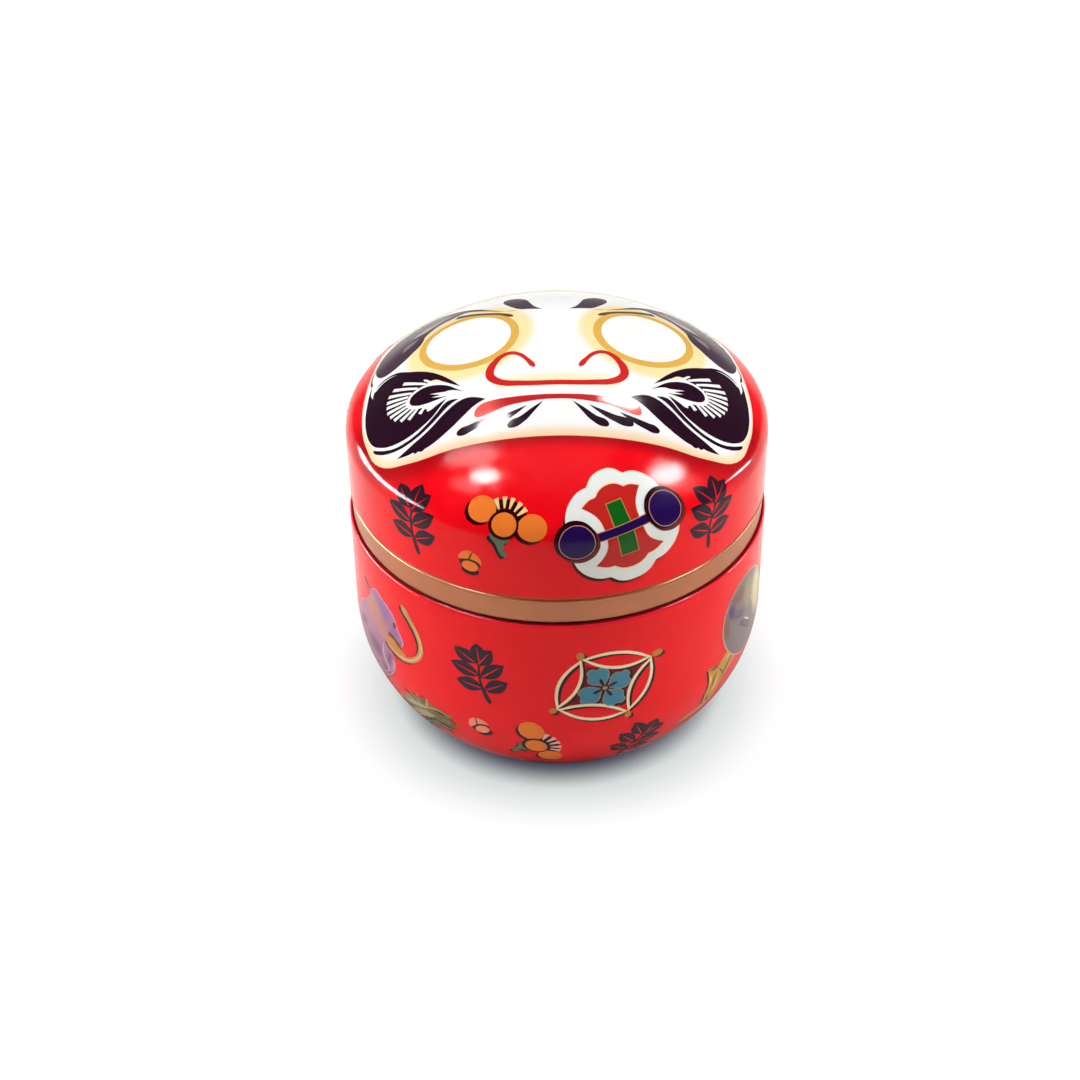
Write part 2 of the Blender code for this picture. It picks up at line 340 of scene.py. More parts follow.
def makeBody():
    shape = bodyShape
    rim, turn, foot = shape["rim"], shape["bowlTurn"], shape["foot"]
    rimZ = shape["height"] - rim + shape["rimRise"]
    profile = arcPoints((shape["radius"] - rim, rimZ), rim, caddy["curl"], 0, caddy["curlSteps"])
    profile += arcPoints((bowlIn, bowlZ), shape["bowl"], 0, -turn, shape["bowlSteps"])
    profile += arcPoints((footIn, foot), foot, -turn, -90, shape["footSteps"])[1:]
    panel, rise = footIn - shape["footRing"], shape["panelRise"]
    profile += [(panel, 0), (panel - shape["panelSlope"], rise), (0, rise)]
    # the rim's top arc gets a dark red, painted shade, and the arc below it a lighter red, a painted highlight
    shadeFrom, highlightFrom = [rimZ + rim * math.sin(math.radians(a)) for a in shape["rimTurns"]]
    bare = lambda r, z: r < panel - shape["panelEdge"] and z < shape["panelBelow"]
    pick = lambda r, z: 1 if bare(r, z) else 2 if z > shadeFrom else 3 if z > highlightFrom else 0
    materials = [inks["red"], bareTin, inks["rimPaintedShade"], inks["rimPaintedHighlight"]]
    body = turnedPiece("bodyShell", profile, caddy["steps"], materials, pick, caddy["tin"])
    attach(body, "body")
    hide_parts("body_shell")


makeBody()

neckShape = {"radius": 38.45, "seat": 39.82, "top": 55.5, "foot": 38.2, "hem": 0.5, "joggle": (44.8, 43.2)}


def makeNeck():
    shape = neckShape
    hemCentre = (shape["radius"] - shape["hem"], shape["top"] - shape["hem"])
    profile = arcPoints(hemCentre, shape["hem"], caddy["curl"], 0, caddy["curlSteps"])
    stepTop, stepFoot = shape["joggle"]
    profile += [(shape["radius"], stepTop), (shape["seat"], stepFoot), (shape["seat"], shape["foot"])]
    neck = turnedPiece("neckRing", profile, caddy["steps"], [bareTin], tin=caddy["tin"])
    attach(neck, "body")
    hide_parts("neck_ring")


makeNeck()

innerShape = {
    "hole": 1.8, "pan": 52.08, "stiffener": 25.15, "stiffenerFoot": 1.5, "stiffenerTop": 0.5, "stiffenerRise": 0.8,
    "corner": 0.9, "plug": 36.87, "flange": 56.08, "flangeBend": 0.6, "edge": 38.45, "bendSteps": 8}


def makeInnerLid():
    shape = innerShape
    level, mid, plug, flange = shape["pan"], shape["stiffener"], shape["plug"], shape["flange"]
    foot, top, ridge = shape["stiffenerFoot"], shape["stiffenerTop"], level + shape["stiffenerRise"]
    profile = [(shape["hole"], level), (mid - foot, level), (mid - top, ridge), (mid + top, ridge),
        (mid + foot, level)]
    corner, bend, steps = shape["corner"], shape["flangeBend"], shape["bendSteps"]
    profile += arcPoints((plug - corner, level + corner), corner, -90, 0, steps)
    profile += arcPoints((plug + bend, flange - bend), bend, 180, 90, steps)
    profile += [(shape["edge"], flange)]
    pan = turnedPiece("innerLid", profile, caddy["steps"], [bareTin], tin=caddy["tin"])
    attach(pan, "inner_lid")
    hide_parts("inner_lid")


makeInnerLid()

knobShape = {
    "hole": 1.8, "base": 52.38, "foot": 4.4, "footTop": 53.58, "waist": 3.2, "waistFoot": 54.78, "undercut": 55.98,
    "head": 6.2, "edge": 56.88, "headLow": 57.48, "top": 61.38, "holeEnd": 56.68, "round": 0.3,
    "throat": (0.35, 0.08, 0.3), "lipTurn": -70, "flareEnd": 262, "headSteps": 24, "roundSteps": 5, "flareSteps": 8,
    "steps": 96, "sharp": 30}


def makeKnob():
    shape = knobShape
    low, head, foot, waist, edge = shape["headLow"], shape["head"], shape["foot"], shape["waist"], shape["round"]
    squash = (shape["top"] - low) / head
    profile = [(x, low + (y - low) * squash) for x, y in arcPoints((0, low), head, 90, 0, shape["headSteps"])]
    profile += arcPoints((head - edge, shape["edge"] + edge), edge, 0, shape["lipTurn"], shape["roundSteps"])[1:]
    wide, above, below = shape["throat"]
    under, flareTop = shape["undercut"], shape["waistFoot"]
    profile += [(waist + wide, under + above), (waist, under - below), (waist, flareTop)]
    profile += arcPoints((foot, flareTop), foot - waist, 180, shape["flareEnd"], shape["flareSteps"])[1:]
    profile += arcPoints((foot - edge, shape["footTop"] - edge), edge, 90, 0, shape["roundSteps"])
    hole, base, end = shape["hole"], shape["base"], shape["holeEnd"]
    profile += [(foot, base), (hole, base), (hole, end), (0, end)]
    knob = turnedPiece("innerLidKnob", profile, shape["steps"], [knobGold], sharp=shape["sharp"])
    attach(knob, "inner_lid")
    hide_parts("inner_lid_knob")


makeKnob()

rivetShape = {
    "shank": 1.5, "top": 56.38, "headTop": 51.5, "head": 3.2, "headRise": 0.9, "chamfer": 0.2, "headSteps": 12,
    "steps": 64, "sharp": 30}


def makeRivet():
    shape = rivetShape
    shank, top, chamfer, seat = shape["shank"], shape["top"], shape["chamfer"], shape["headTop"]
    profile = [(0, top), (shank - chamfer, top), (shank, top - chamfer), (shank, seat)]
    squash = shape["headRise"] / shape["head"]
    profile += [(x, seat + y * squash) for x, y in arcPoints((0, 0), shape["head"], 0, -90, shape["headSteps"])]
    rivet = turnedPiece("knobRivet", profile, shape["steps"], [bareTin], sharp=shape["sharp"])
    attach(rivet, "inner_lid")
    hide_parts("knob_rivet")


makeRivet()
print("shells turned")


def lidSkin(s):  # a point of the lid's outside, s down from the crown: radius, height, normal out, normal up
    if s < domeArc:
        a = s / domeRadius
        return domeRadius * math.sin(a), domeZ + domeRadius * math.cos(a), math.sin(a), math.cos(a)
    if s < shoulderArc:
        bend = lidShape["shoulder"]
        a = domeTurn + (s - domeArc) / bend
        return shoulderIn + bend * math.sin(a), shoulderZ + bend * math.cos(a), math.sin(a), math.cos(a)
    return lidShape["radius"], shoulderZ - (s - shoulderArc), 1.0, 0.0


def bodySkin(s):  # the same for the body, s down from the rim
    if s < wallArc:
        return bodyShape["radius"], bodyShape["height"] - s, 1.0, 0.0
    bend = bodyShape["bowl"]
    a = (s - wallArc) / bend
    return bowlIn + bend * math.cos(a), bowlZ - bend * math.sin(a), math.cos(a), -math.sin(a)


def onFace(x, y):  # x to the right and y to the back, flat round the crown
    return math.hypot(x, y), math.atan2(x, -y), lidSkin


def onLidWall(x, y):  # x round the wall from the front, y up from the lid's lower edge
    return shoulderArc + lidShape["wall"] - y, x / lidShape["radius"], lidSkin


def onBody(x, y):  # x round the body from the front, y down from its rim
    return -y, x / bodyShape["radius"], bodySkin


def wrapPoint(chart, flat):
    s, turn, skin = chart(flat.x, flat.y)
    r, z, outward, upward = skin(s)
    reach = r + flat.z * outward
    return Vector((reach * math.sin(turn), -reach * math.cos(turn), z + flat.z * upward)) * mm


def skinNormal(chart, place):
    x, y, z = place / mm
    r = max(math.hypot(x, y), tiny)
    if chart is onBody:
        out, up = (1.0, 0.0) if z > bowlZ else (r - bowlIn, z - bowlZ)
    elif z < shoulderZ:
        out, up = 1.0, 0.0
    elif math.atan2(r, z - domeZ) < domeTurn:
        out, up = r, z - domeZ
    else:
        out, up = r - shoulderIn, z - shoulderZ
    return Vector((out * x / r, out * y / r, up)).normalized()


printing = {
    "sink": 0.03, "first": 0.022, "step": 0.012, "cut": 1.3, "bendCut": 0.6, "smoothness": 5, "cornerTurn": 1.0,
    "weld": 1e-4, "cutWeld": 1e-5, "topFacing": 0.5}


def flatPlate(loops, thick):  # flat outlines as one plate; a knot with a third value is a corner
    curve = bpy.data.curves.new("plate", "CURVE")
    curve.dimensions = "2D"
    curve.fill_mode = "BOTH"
    curve.resolution_u = printing["smoothness"]
    curve.extrude = thick / 2
    for loop in loops:
        spline = curve.splines.new("BEZIER")
        spline.bezier_points.add(len(loop) - 1)
        spline.use_cyclic_u = True
        for knot, point in zip(spline.bezier_points, loop):
            knot.co = (point[0], point[1], 0)
            knot.handle_left_type = knot.handle_right_type = "VECTOR" if len(point) > 2 else "AUTO"
    holder = bpy.data.objects.new("plate", curve)
    mesh = bpy.data.meshes.new_from_object(holder)
    bpy.data.objects.remove(holder)
    bpy.data.curves.remove(curve)
    return mesh


def cutGrid(bm, chart, step):  # enough edges for the plate to follow the round skin
    for axis in (0, 1):
        low, high = min(v.co[axis] for v in bm.verts), max(v.co[axis] for v in bm.verts)
        cuts = [k * step for k in range(math.floor(low / step) + 1, math.ceil(high / step))]
        if axis == 1 and chart is onLidWall:  # closer rows round the shoulder
            foot, reach = lidShape["wall"], shoulderArc - domeArc
            rows = int(reach / printing["bendCut"]) + 1
            cuts = [c for c in cuts if not foot < c < foot + reach]
            cuts += [foot + reach * k / rows for k in range(rows + 1)]
        across = Vector((axis == 0, axis == 1, 0))
        for cut in cuts:
            if low < cut < high:
                geom = bm.verts[:] + bm.edges[:] + bm.faces[:]
                bmesh.ops.bisect_plane(bm, geom=geom, dist=printing["cutWeld"], plane_co=across * cut,
                    plane_no=across)


def newPrint(chart):
    return {"bm": bmesh.new(), "chart": chart, "inks": []}


def stamp(sheet, ink, level, loops, paint=None, cut=None):
    top = printing["first"] + printing["step"] * (level - 1)
    thick = top + printing["sink"]
    flat = flatPlate(loops, thick)
    bm = bmesh.new()
    bm.from_mesh(flat)
    bmesh.ops.remove_doubles(bm, verts=bm.verts[:], dist=printing["weld"])
    topEdges = [e for e in bm.edges if all(v.co.z > 0 for v in e.verts)]
    rim = [[v.co.xy for v in e.verts] for e in topEdges if e.calc_face_angle(0) > printing["cornerTurn"]]
    cutGrid(bm, sheet["chart"], cut or printing["cut"])
    if ink not in sheet["inks"]:
        sheet["inks"].append(ink)
    for face in bm.faces:
        face.material_index = sheet["inks"].index(ink)
        face.smooth = True
    if paint:
        for label, amount in paint.items():
            layer = bm.verts.layers.float.new(label)
            for vert in bm.verts:
                vert[layer] = amount(vert.co.x, vert.co.y, rim)
    for vert in bm.verts:
        vert.co = wrapPoint(sheet["chart"], vert.co + Vector((0, 0, (top - printing["sink"]) / 2)))
    bmesh.ops.recalc_face_normals(bm, faces=bm.faces[:])
    bm.to_mesh(flat)
    bm.free()
    sheet["bm"].from_mesh(flat)
    bpy.data.meshes.remove(flat)
    return rim


def dryPrint(sheet, name, body):
    mesh = bpy.data.meshes.new(name)
    sheet["bm"].to_mesh(mesh)
    sheet["bm"].free()
    for ink in sheet["inks"]:
        mesh.materials.append(inks[ink])
    normals = []
    for face in mesh.polygons:
        isTop = face.normal.dot(skinNormal(sheet["chart"], face.center)) > printing["topFacing"]
        for corner in face.vertices:  # the print shines as the skin under it does
            normals.append(skinNormal(sheet["chart"], mesh.vertices[corner].co) if isTop else face.normal)
    mesh.normals_split_custom_set(normals)
    piece = bpy.data.objects.new(name, mesh)
    scene.collection.objects.link(piece)
    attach(piece, body)
    return piece


def mirrored(loop):
    return [(-p[0],) + tuple(p[1:]) for p in reversed(loop)]


def bothSides(loops):
    return loops + [mirrored(loop) for loop in loops]


def moved(loops, centre, turn=0.0, size=1.0):
    c, s = math.cos(math.radians(turn)) * size, math.sin(math.radians(turn)) * size
    put = lambda x, y, *corner: (centre[0] + x * c - y * s, centre[1] + x * s + y * c, *corner)
    return [[put(*point) for point in loop] for loop in loops]


def heading(turn):  # a step of 1 mm at so many degrees
    return Vector((math.cos(math.radians(turn)), math.sin(math.radians(turn))))


def ovalLoop(centre, rx, ry=None, turn=0.0, knots=10):
    steps = [math.tau * k / knots for k in range(knots)]
    return moved([[(rx * math.cos(a), (ry or rx) * math.sin(a)) for a in steps]], centre, turn)[0]


def strokeLoop(path, widths, tips="rr"):  # a brush stroke: r round, p pointed or f flat at the start and the end
    path = [Vector(point) for point in path]
    last = len(path) - 1
    ahead = [path[min(k + 1, last)] - path[max(k - 1, 0)] for k in range(last + 1)]
    sides = [Vector((-d.y, d.x)).normalized() * width / 2 for d, width in zip(ahead, widths)]
    left = [tuple(point + side) for point, side in zip(path, sides)]
    right = [tuple(point - side) for point, side in zip(path, sides)]
    ends = []
    for k, tip, way in ((0, tips[0], -0.5), (last, tips[1], 0.5)):
        cap = {"r": [tuple(path[k] + ahead[k].normalized() * widths[k] * way)], "p": [tuple(path[k]) + (0,)], "f": []}
        ends.append(cap[tip])
        if tip == "f":
            left[k] += (0,)
            right[k] += (0,)
    kept = slice(int(tips[0] == "p"), last + (tips[1] != "p"))
    return ends[0] + left[kept] + ends[1] + right[kept][::-1]


leafBulge = ((0.25, 0.74), (0.5, 1.0), (0.75, 0.74))  # along the leaf, and the share of its bulge there


def lensLoop(start, end, bulge):  # a leaf between two points
    start, end = Vector(start), Vector(end)
    along = end - start
    across = Vector((-along.y, along.x)).normalized() * bulge
    upper = [tuple(start + along * t + across * share) for t, share in leafBulge]
    lower = [tuple(start + along * t - across * share) for t, share in reversed(leafBulge)]
    return [tuple(start) + (0,)] + upper + [tuple(end) + (0,)] + lower


faceLook = {
    "half": [
        (0, -25.5), (20, -25.2), (29, -24.9), (35.5, -22.5), (38.6, -16), (39.6, -8), (39.2, -1.5), (38.4, 4.3),
        (37.1, 11.2), (35.6, 17.5), (32.3, 22.6), (26.2, 26.6), (16, 28.9), (0, 29.7)],
    "eye": (16.75, 2.6), "halo": 12.6, "haloSoft": 1.1, "warmColour": (252, 229, 170), "lowFade": 2.9,
    "sideFade": 0.7, "topFade": 8.5, "topFull": 4.5, "cornerHeight": -13.0, "noseGlow": (-15.0, -13.7, -10.4, 11.0),
    "cut": 0.75, "shadeWide": (2.9, 6.5), "shadeFrom": (14, 28), "shadeHigh": (-6, -14, 0.25), "hidden": (36.0, 23.0),
    "glowUnder": 0.6, "glowEnd": (1.2, -0.8), "topFrom": (14, 25), "tanFrom": (16, 25), "cornerSoft": (4, -7),
    "cloud": 0.012}


def faceOutline():
    half = faceLook["half"]
    return half + [(-x, y) for x, y in half[-2:0:-1]]


def segmentGap(x, y, a, b):
    dx, dy = b[0] - a[0], b[1] - a[1]
    t = max(0.0, min(1.0, ((x - a[0]) * dx + (y - a[1]) * dy) / (dx * dx + dy * dy)))
    return math.hypot(x - a[0] - t * dx, y - a[1] - t * dy)


def smoothStep(low, high, value):
    t = max(0.0, min(1.0, (value - low) / (high - low)))
    return t * t * (3 - 2 * t)


def faceWarmth(x, y, rim):  # pale yellow round the eyes and along the nose's lower line
    eye, ring, soft = faceLook["eye"], faceLook["halo"], faceLook["haloSoft"]
    halo = smoothStep(ring + soft, ring - soft, math.hypot(abs(x) - eye[0], y - eye[1]))
    low, line, high, half = faceLook["noseGlow"]
    glow = smoothStep(high, line, y) if y > line else faceLook["glowUnder"] * smoothStep(low, line, y)
    return max(halo, glow * smoothStep(*[half + more for more in faceLook["glowEnd"]], abs(x)))


def faceEdge(x, y, rim):  # peach along the border, wide under the mouth and thin up the sides
    gap = min(segmentGap(x, y, a, b) for a, b in rim)
    side, top = faceLook["sideFade"], smoothStep(*faceLook["topFrom"], y)
    low = smoothStep(*[faceLook["cornerHeight"] + more for more in faceLook["cornerSoft"]], y)
    fade = side + (faceLook["lowFade"] - side) * low + (faceLook["topFade"] - side) * top
    return smoothStep(fade, faceLook["topFull"] * top, gap)


def faceHigh(x, y, rim):
    return smoothStep(*faceLook["tanFrom"], y)


def faceMaterial():
    material, tree, shader, tone = inkMaterial("faceInk", inkColours["white"], faceLook["cloud"])
    warm, edge, high = [maskNode(tree, label) for label in ("warmth", "edge", "high")]
    colour = mixColour(tree, warm, linear(inkColours["white"]), linear(faceLook["warmColour"]))
    border = mixColour(tree, high, linear(inkColours["peach"]), linear(inkColours["tan"]))
    link(tree, mixColour(tree, edge, colour, border), tone.inputs["Colour"])
    return material


def printFace():
    inks["face"] = faceMaterial()
    sheet = newPrint(onFace)
    paint = {"warmth": faceWarmth, "edge": faceEdge, "high": faceHigh}
    rim = stamp(sheet, "face", 1, [faceOutline()], paint, faceLook["cut"])
    dryPrint(sheet, "faceField", "lid")
    return rim


def faceSpot(point):  # a point of the lid in the face's chart
    r = math.hypot(point.x, point.y)
    if point.z < shoulderZ:
        along = shoulderArc + shoulderZ - point.z
    elif r > domeRadius * math.sin(domeTurn):
        along = domeArc + lidShape["shoulder"] * (math.atan2(r - shoulderIn, point.z - shoulderZ) - domeTurn)
    else:
        along = domeRadius * math.asin(r / domeRadius)
    return along * point.x / max(r, tiny), along * point.y / max(r, tiny)


def shadeLid(rim):  # the lid's red deepens towards the face
    mesh = bpy.data.objects["lidShell"].data
    shade = mesh.attributes.new("faceShade", "FLOAT", "POINT")
    thin, wide = faceLook["shadeWide"]
    high, low, least = faceLook["shadeHigh"]
    hiddenX, hiddenY = faceLook["hidden"]
    for vert in mesh.vertices:
        x, y = faceSpot(vert.co / mm)
        if math.hypot(x / hiddenX, y / hiddenY) < 1:
            shade.data[vert.index].value = 1.0
        elif math.hypot(x, y) < shoulderArc + wide:
            reach = thin + (wide - thin) * smoothStep(*faceLook["shadeFrom"], abs(x))
            depth = least + (1 - least) * smoothStep(high, low, y)
            gap = min(segmentGap(x, y, a, b) for a, b in rim)
            shade.data[vert.index].value = depth * smoothStep(reach, 0.0, gap)


shadeLid(printFace())

eyeLook = {
    "white": (8.9, 7.8), "whiteOver": 0.2, "turn": 46, "ring": 1.55, "knots": 16,
    "lidLine": [(8.3, 8.1), (10.4, 9.8), (13.6, 11.6), (16.5, 13.1), (19.4, 14.3)],
    "lidWidths": [0.7, 0.8, 0.85, 1.0, 1.3]}


def printEyes():
    sheet = newPrint(onFace)
    eye = faceLook["eye"]
    rx, ry = eyeLook["white"]
    oval = lambda grow: ovalLoop(eye, rx + grow, ry + grow, eyeLook["turn"], eyeLook["knots"])
    stamp(sheet, "white", 2, bothSides([oval(eyeLook["whiteOver"])]))
    stamp(sheet, "eyeGold", 3, bothSides([oval(eyeLook["ring"]), oval(0)]))
    stamp(sheet, "lidBrown", 4, bothSides([strokeLoop(eyeLook["lidLine"], eyeLook["lidWidths"], "rf")]))
    dryPrint(sheet, "eyes", "lid")


printEyes()

browLook = {
    "outline": [
        (7.2, 10.6, 0), (8.8, 10.7), (11.8, 12.5), (15.4, 16.0), (20, 19.4), (24.8, 21.3), (30.1, 19.5), (34.2, 15.8),
        (36.7, 9.3), (37, 7), (36, 3.2), (35, 2.2), (33.8, 1.9), (29.9, 3.6), (28.4, 5.1), (26.8, 6.8), (26.1, 8.7),
        (25.9, 10.2), (24.9, 11.8), (22.4, 14), (20.4, 14.8), (17.7, 15.9), (15.4, 14.7), (11.8, 12.1), (9.9, 11.1)],
    "bulb": [
        (2.6, 10.15, 0), (3.9, 11.7), (4.8, 14), (5.7, 16.6), (7, 17.9), (8.5, 18.5), (9.7, 18.1), (10.1, 16.5),
        (9.5, 14.7), (8.3, 12.7), (6.9, 11.1), (5.2, 10.7), (3.8, 10.4)],
    "feathers": [
        ("feather", [(29.6, 12.2), (26, 14.6), (22.2, 16.6), (20.2, 16.9)], [0.6, 2.2, 1.6, 0.4]),
        ("blush", [(28.8, 12.7), (26.2, 13.8), (22.4, 15.6)], [0.9, 1.5, 0.4]),
        ("feather", [(30.8, 7.4), (29.3, 9.5), (27.2, 10.9)], [0.5, 1.7, 0.6])],
    "hair": ([(37.5, 1.4), (37.75, 3.4), (37.4, 6.2), (36.7, 8.8)], [0.4, 0.34, 0.26, 0.1])}


def printBrows():
    sheet = newPrint(onFace)
    stamp(sheet, "browGrey", 2, bothSides([browLook["outline"], browLook["bulb"]]))
    for k, (ink, path, widths) in enumerate(browLook["feathers"]):
        stamp(sheet, ink, 3 + k, bothSides([strokeLoop(path, widths, "pp")]))
    stamp(sheet, "browGrey", 2, bothSides([strokeLoop(*browLook["hair"], "rp")]))
    dryPrint(sheet, "brows", "lid")


printBrows()

cheekLook = {
    "lock": [
        (17.9, -11.5, 0), (20.1, -8.7), (22.4, -6.2), (24.4, -4.4), (26.5, -2.9), (28.8, -1.4), (30.2, -0.3),
        (31.6, 0.5), (33, 0.8), (34.4, 0.65), (35.7, -0.1), (36.5, -1.3), (36.9, -2.6), (37, -3.6, 0), (37.5, -2),
        (37.4, 0), (37.3, 1.2, 0), (37.9, -1), (38.3, -3.8), (38.7, -8), (38.5, -12), (37.7, -15.2), (36.6, -17.1),
        (35.1, -18.3), (33.3, -19.1), (30.8, -19.4), (28.4, -19.1), (25.8, -18.1), (23.7, -16.8), (21.9, -14.9),
        (20.7, -13.5, 0), (22.5, -14.2), (24.5, -14.6), (25.5, -13), (25.5, -8.5), (23.5, -7.4), (21, -9.1),
        (19.3, -10.5)],
    "topLine": ([(36.5, -1.5), (35.1, -0.4), (33.5, 0.1), (31.5, -0.2)], [0.3, 0.28, 0.24, 0.12]),
    "collar": [
        (19.6, -10.9), (21.6, -9.3), (23.4, -8.4), (25.1, -8.0), (27, -8.3), (28.4, -9.2), (29.1, -10.7),
        (28.7, -12.1), (27.5, -13.1), (25.7, -13.6), (23.5, -13.7), (21, -13.4), (19.4, -12.6)],
    "rays": [
        ((24.9, -7.7), (29.75, -4.6)), ((26.6, -8.0), (32.0, -5.0)), ((27.9, -8.6), (33.0, -6.3)),
        ((28.6, -9.2), (33.4, -7.8)), ((28.9, -10.0), (33.45, -9.25)), ((29.0, -10.8), (33.3, -10.85)),
        ((28.8, -11.6), (32.65, -12.3)), ((28.3, -12.4), (31.75, -13.55)), ((27.4, -13.0), (30.3, -14.6)),
        ((26.5, -13.3), (28.55, -15.15)), ((25.0, -13.5), (26.2, -14.9))],
    "rayWidths": (0.5, 0.66, 0.8),
    "strokes": [
        ([(22.9, -8.7), (24.0, -7.6), (25.2, -6.4)], [0.3, 0.4, 0.3]),
        ([(21.2, -13.4), (23.0, -14.0), (24.45, -14.85)], [0.3, 0.9, 0.5])],
    "pupil": [
        (17.4, -13, 0), (18.7, -11.9), (20.1, -10.6), (21.7, -9.6), (23.3, -8.95), (25.1, -8.6), (26.8, -8.95),
        (27.9, -9.7), (28.3, -10.8), (28, -11.7), (27.1, -12.4), (25.6, -12.9), (23.5, -13.05), (20.6, -12.9, 0),
        (22.2, -12.3), (20.8, -11.7), (19.2, -12)],
    "glints": [
        ([(19.5, -12.4), (21.8, -11.8), (24, -11.0)], [0.25, 0.5, 0.4]),
        ([(20.2, -12.7), (22, -12.4), (23.7, -12.0)], [0.2, 0.4, 0.3])],
    "under": [
        (18.3, -14.5, 0), (19.9, -14.2), (21, -14.5), (22.8, -16.3), (25.1, -18.2), (27.4, -19.5), (29.6, -20.1),
        (31.9, -20.2), (34.2, -19.5), (36, -18.5), (36.9, -17.9, 0), (36.7, -18.7), (35.1, -20), (33.3, -20.7),
        (31.2, -21), (29.2, -20.8), (26.9, -20.1), (24.6, -18.9), (22.8, -17.6), (21.2, -16.2), (19.9, -15.2)],
    "beard": [
        (13.2, -16, 0), (14.9, -15.2), (16.5, -14.8), (18.3, -15.1), (21, -16.8), (24.6, -19.6), (28.3, -21.4),
        (31.5, -22.8, 0), (29, -23.1), (27.9, -23, 0), (27.5, -23.4), (26.8, -23.2, 0), (26.2, -23.5),
        (25.4, -23.2, 0), (24.2, -22.9), (20.5, -21), (17.8, -19), (15.3, -17)]}


def whorlRays():
    loops = []
    for start, end in cheekLook["rays"]:
        loops.append(strokeLoop([start, tuple((Vector(start) + Vector(end)) / 2), end], cheekLook["rayWidths"], "ff"))
    return loops


def printCheeks():
    sheet = newPrint(onFace)
    stamp(sheet, "aubergine", 2, bothSides([cheekLook["lock"], cheekLook["under"], cheekLook["beard"]]))
    stamp(sheet, "white", 3, bothSides([strokeLoop(*cheekLook["topLine"], "rp"), cheekLook["collar"]]))
    for loop in whorlRays() + [strokeLoop(path, widths, "rr") for path, widths in cheekLook["strokes"]]:
        stamp(sheet, "white", 4, bothSides([loop]))
    stamp(sheet, "aubergine", 5, bothSides([cheekLook["pupil"]]))
    stamp(sheet, "white", 6, bothSides([strokeLoop(path, widths, "rp") for path, widths in cheekLook["glints"]]))
    dryPrint(sheet, "cheeks", "lid")


printCheeks()

mouthLook = {
    "nose": [
        (4.3, -9.45), (5.5, -7.5), (6.9, -5.9), (8.5, -5.3), (9.95, -5.8), (11.3, -7.2), (12.2, -9), (12.3, -10.6),
        (11.5, -11.9), (9.7, -13.0), (7, -13.55), (4.2, -13.85), (0, -13.9)],
    "noseWidths": [0.8, 0.8, 0.85, 0.9, 1.0, 1.3, 1.6, 1.6, 1.5, 1.35, 1.2, 1.12, 1.12],
    "lip": [
        (0, -16.6), (8, -16.6), (12, -16.7), (14.4, -17.3), (15.4, -18.8), (15.2, -19.6), (14.4, -19.85), (12, -19.3),
        (9.4, -18.5), (6, -18.05), (2.8, -17.75), (0, -17.7)],
    "whiskers": [
        ([(2.6, -18.05), (4.5, -19.8), (6.6, -21.7), (8.6, -22.6)], [0.2, 0.8, 1.4, 1.5]),
        ([(5.6, -18.8), (7.7, -20), (10.3, -21.2), (13.2, -21.9)], [0.2, 0.8, 1.4, 1.5]),
        ([(11.2, -19.8), (13.7, -20.9), (16.4, -21.8), (18.2, -22.2)], [0.25, 1.0, 1.5, 1.5])],
    "lipFade": (9.0, 13.5)}


def lipEnd(x, y, rim):
    return smoothStep(*mouthLook["lipFade"], abs(x))


def printMouth():
    inks["lip"] = blendInk("lipInk", inkColours["lipRed"], [("lipEnd", inkColours["lipCoral"])])
    sheet = newPrint(onFace)
    path = mouthLook["nose"] + [(-x, y) for x, y in mouthLook["nose"][-2::-1]]
    widths = mouthLook["noseWidths"] + mouthLook["noseWidths"][-2::-1]
    stamp(sheet, "noseRed", 4, [strokeLoop(path, widths)])
    lip = mouthLook["lip"]
    stamp(sheet, "lip", 2, [lip + [(-x, y) for x, y in lip[-2:0:-1]]], {"lipEnd": lipEnd})
    for path, widths in mouthLook["whiskers"]:
        stamp(sheet, "aubergine", 2, bothSides([strokeLoop(path, widths, "pr")]))
    dryPrint(sheet, "noseAndMouth", "lid")


printMouth()
print("face printed")

plumLook = {
    "fruits": [((-4.7, 2.05), 2.75, 2.4), ((5.2, -0.1), 2.7, 2.45)], "middle": (2.3, 2.15), "outline": 0.5,
    "shadow": (-0.55, -0.6), "rayFrom": 2.9, "rayTo": 5.0, "rays": (120, 99, 79, 58, 40), "rayWidths": (0.3, 1.0),
    "leaf": [
        (-2.3, -1.9), (-0.9, -2.4), (1.2, -2.6), (0.2, -3.7), (0.25, -4.8), (0.8, -5.9), (0.2, -6.4), (-0.5, -5.6),
        (-1.2, -3.9)],
    "fan": (130, 100, 79, 58, 30), "fanShort": 0.5, "leafFall": 0.9, "middleShift": (-0.1, -0.1)}


def printPlums(sheet, centre, turn, ray="rayCream"):
    look = plumLook
    put = lambda loops: moved(loops, centre, turn)
    fall = Vector(look["shadow"])
    for place, rx, ry in look["fruits"]:
        stamp(sheet, "shadow", 1, moved(put([ovalLoop(place, rx, ry)]), fall))
    fan = [(0, 0)] + [tuple(heading(a) * (look["rayTo"] - look["fanShort"])) for a in look["fan"]]
    stamp(sheet, "shadow", 2, put([fan]))
    stamp(sheet, "shadow", 3, moved(put([look["leaf"]]), fall * look["leafFall"]))
    for place, rx, ry in look["fruits"]:
        stamp(sheet, "orange", 3, put([ovalLoop(place, rx, ry)]))
    spokes = [[tuple(heading(a) * reach) for reach in (look["rayFrom"], look["rayTo"])] for a in look["rays"]]
    stamp(sheet, ray, 4, put([strokeLoop(spoke, look["rayWidths"], "ff") for spoke in spokes]))
    stamp(sheet, "leafGreen", 4, put([look["leaf"]]))
    rx, ry = look["middle"]
    stamp(sheet, "shadow", 5, put([ovalLoop(look["middleShift"], rx + look["outline"], ry + look["outline"])]))
    stamp(sheet, "orange", 6, put([ovalLoop((0, 0), rx, ry)]))


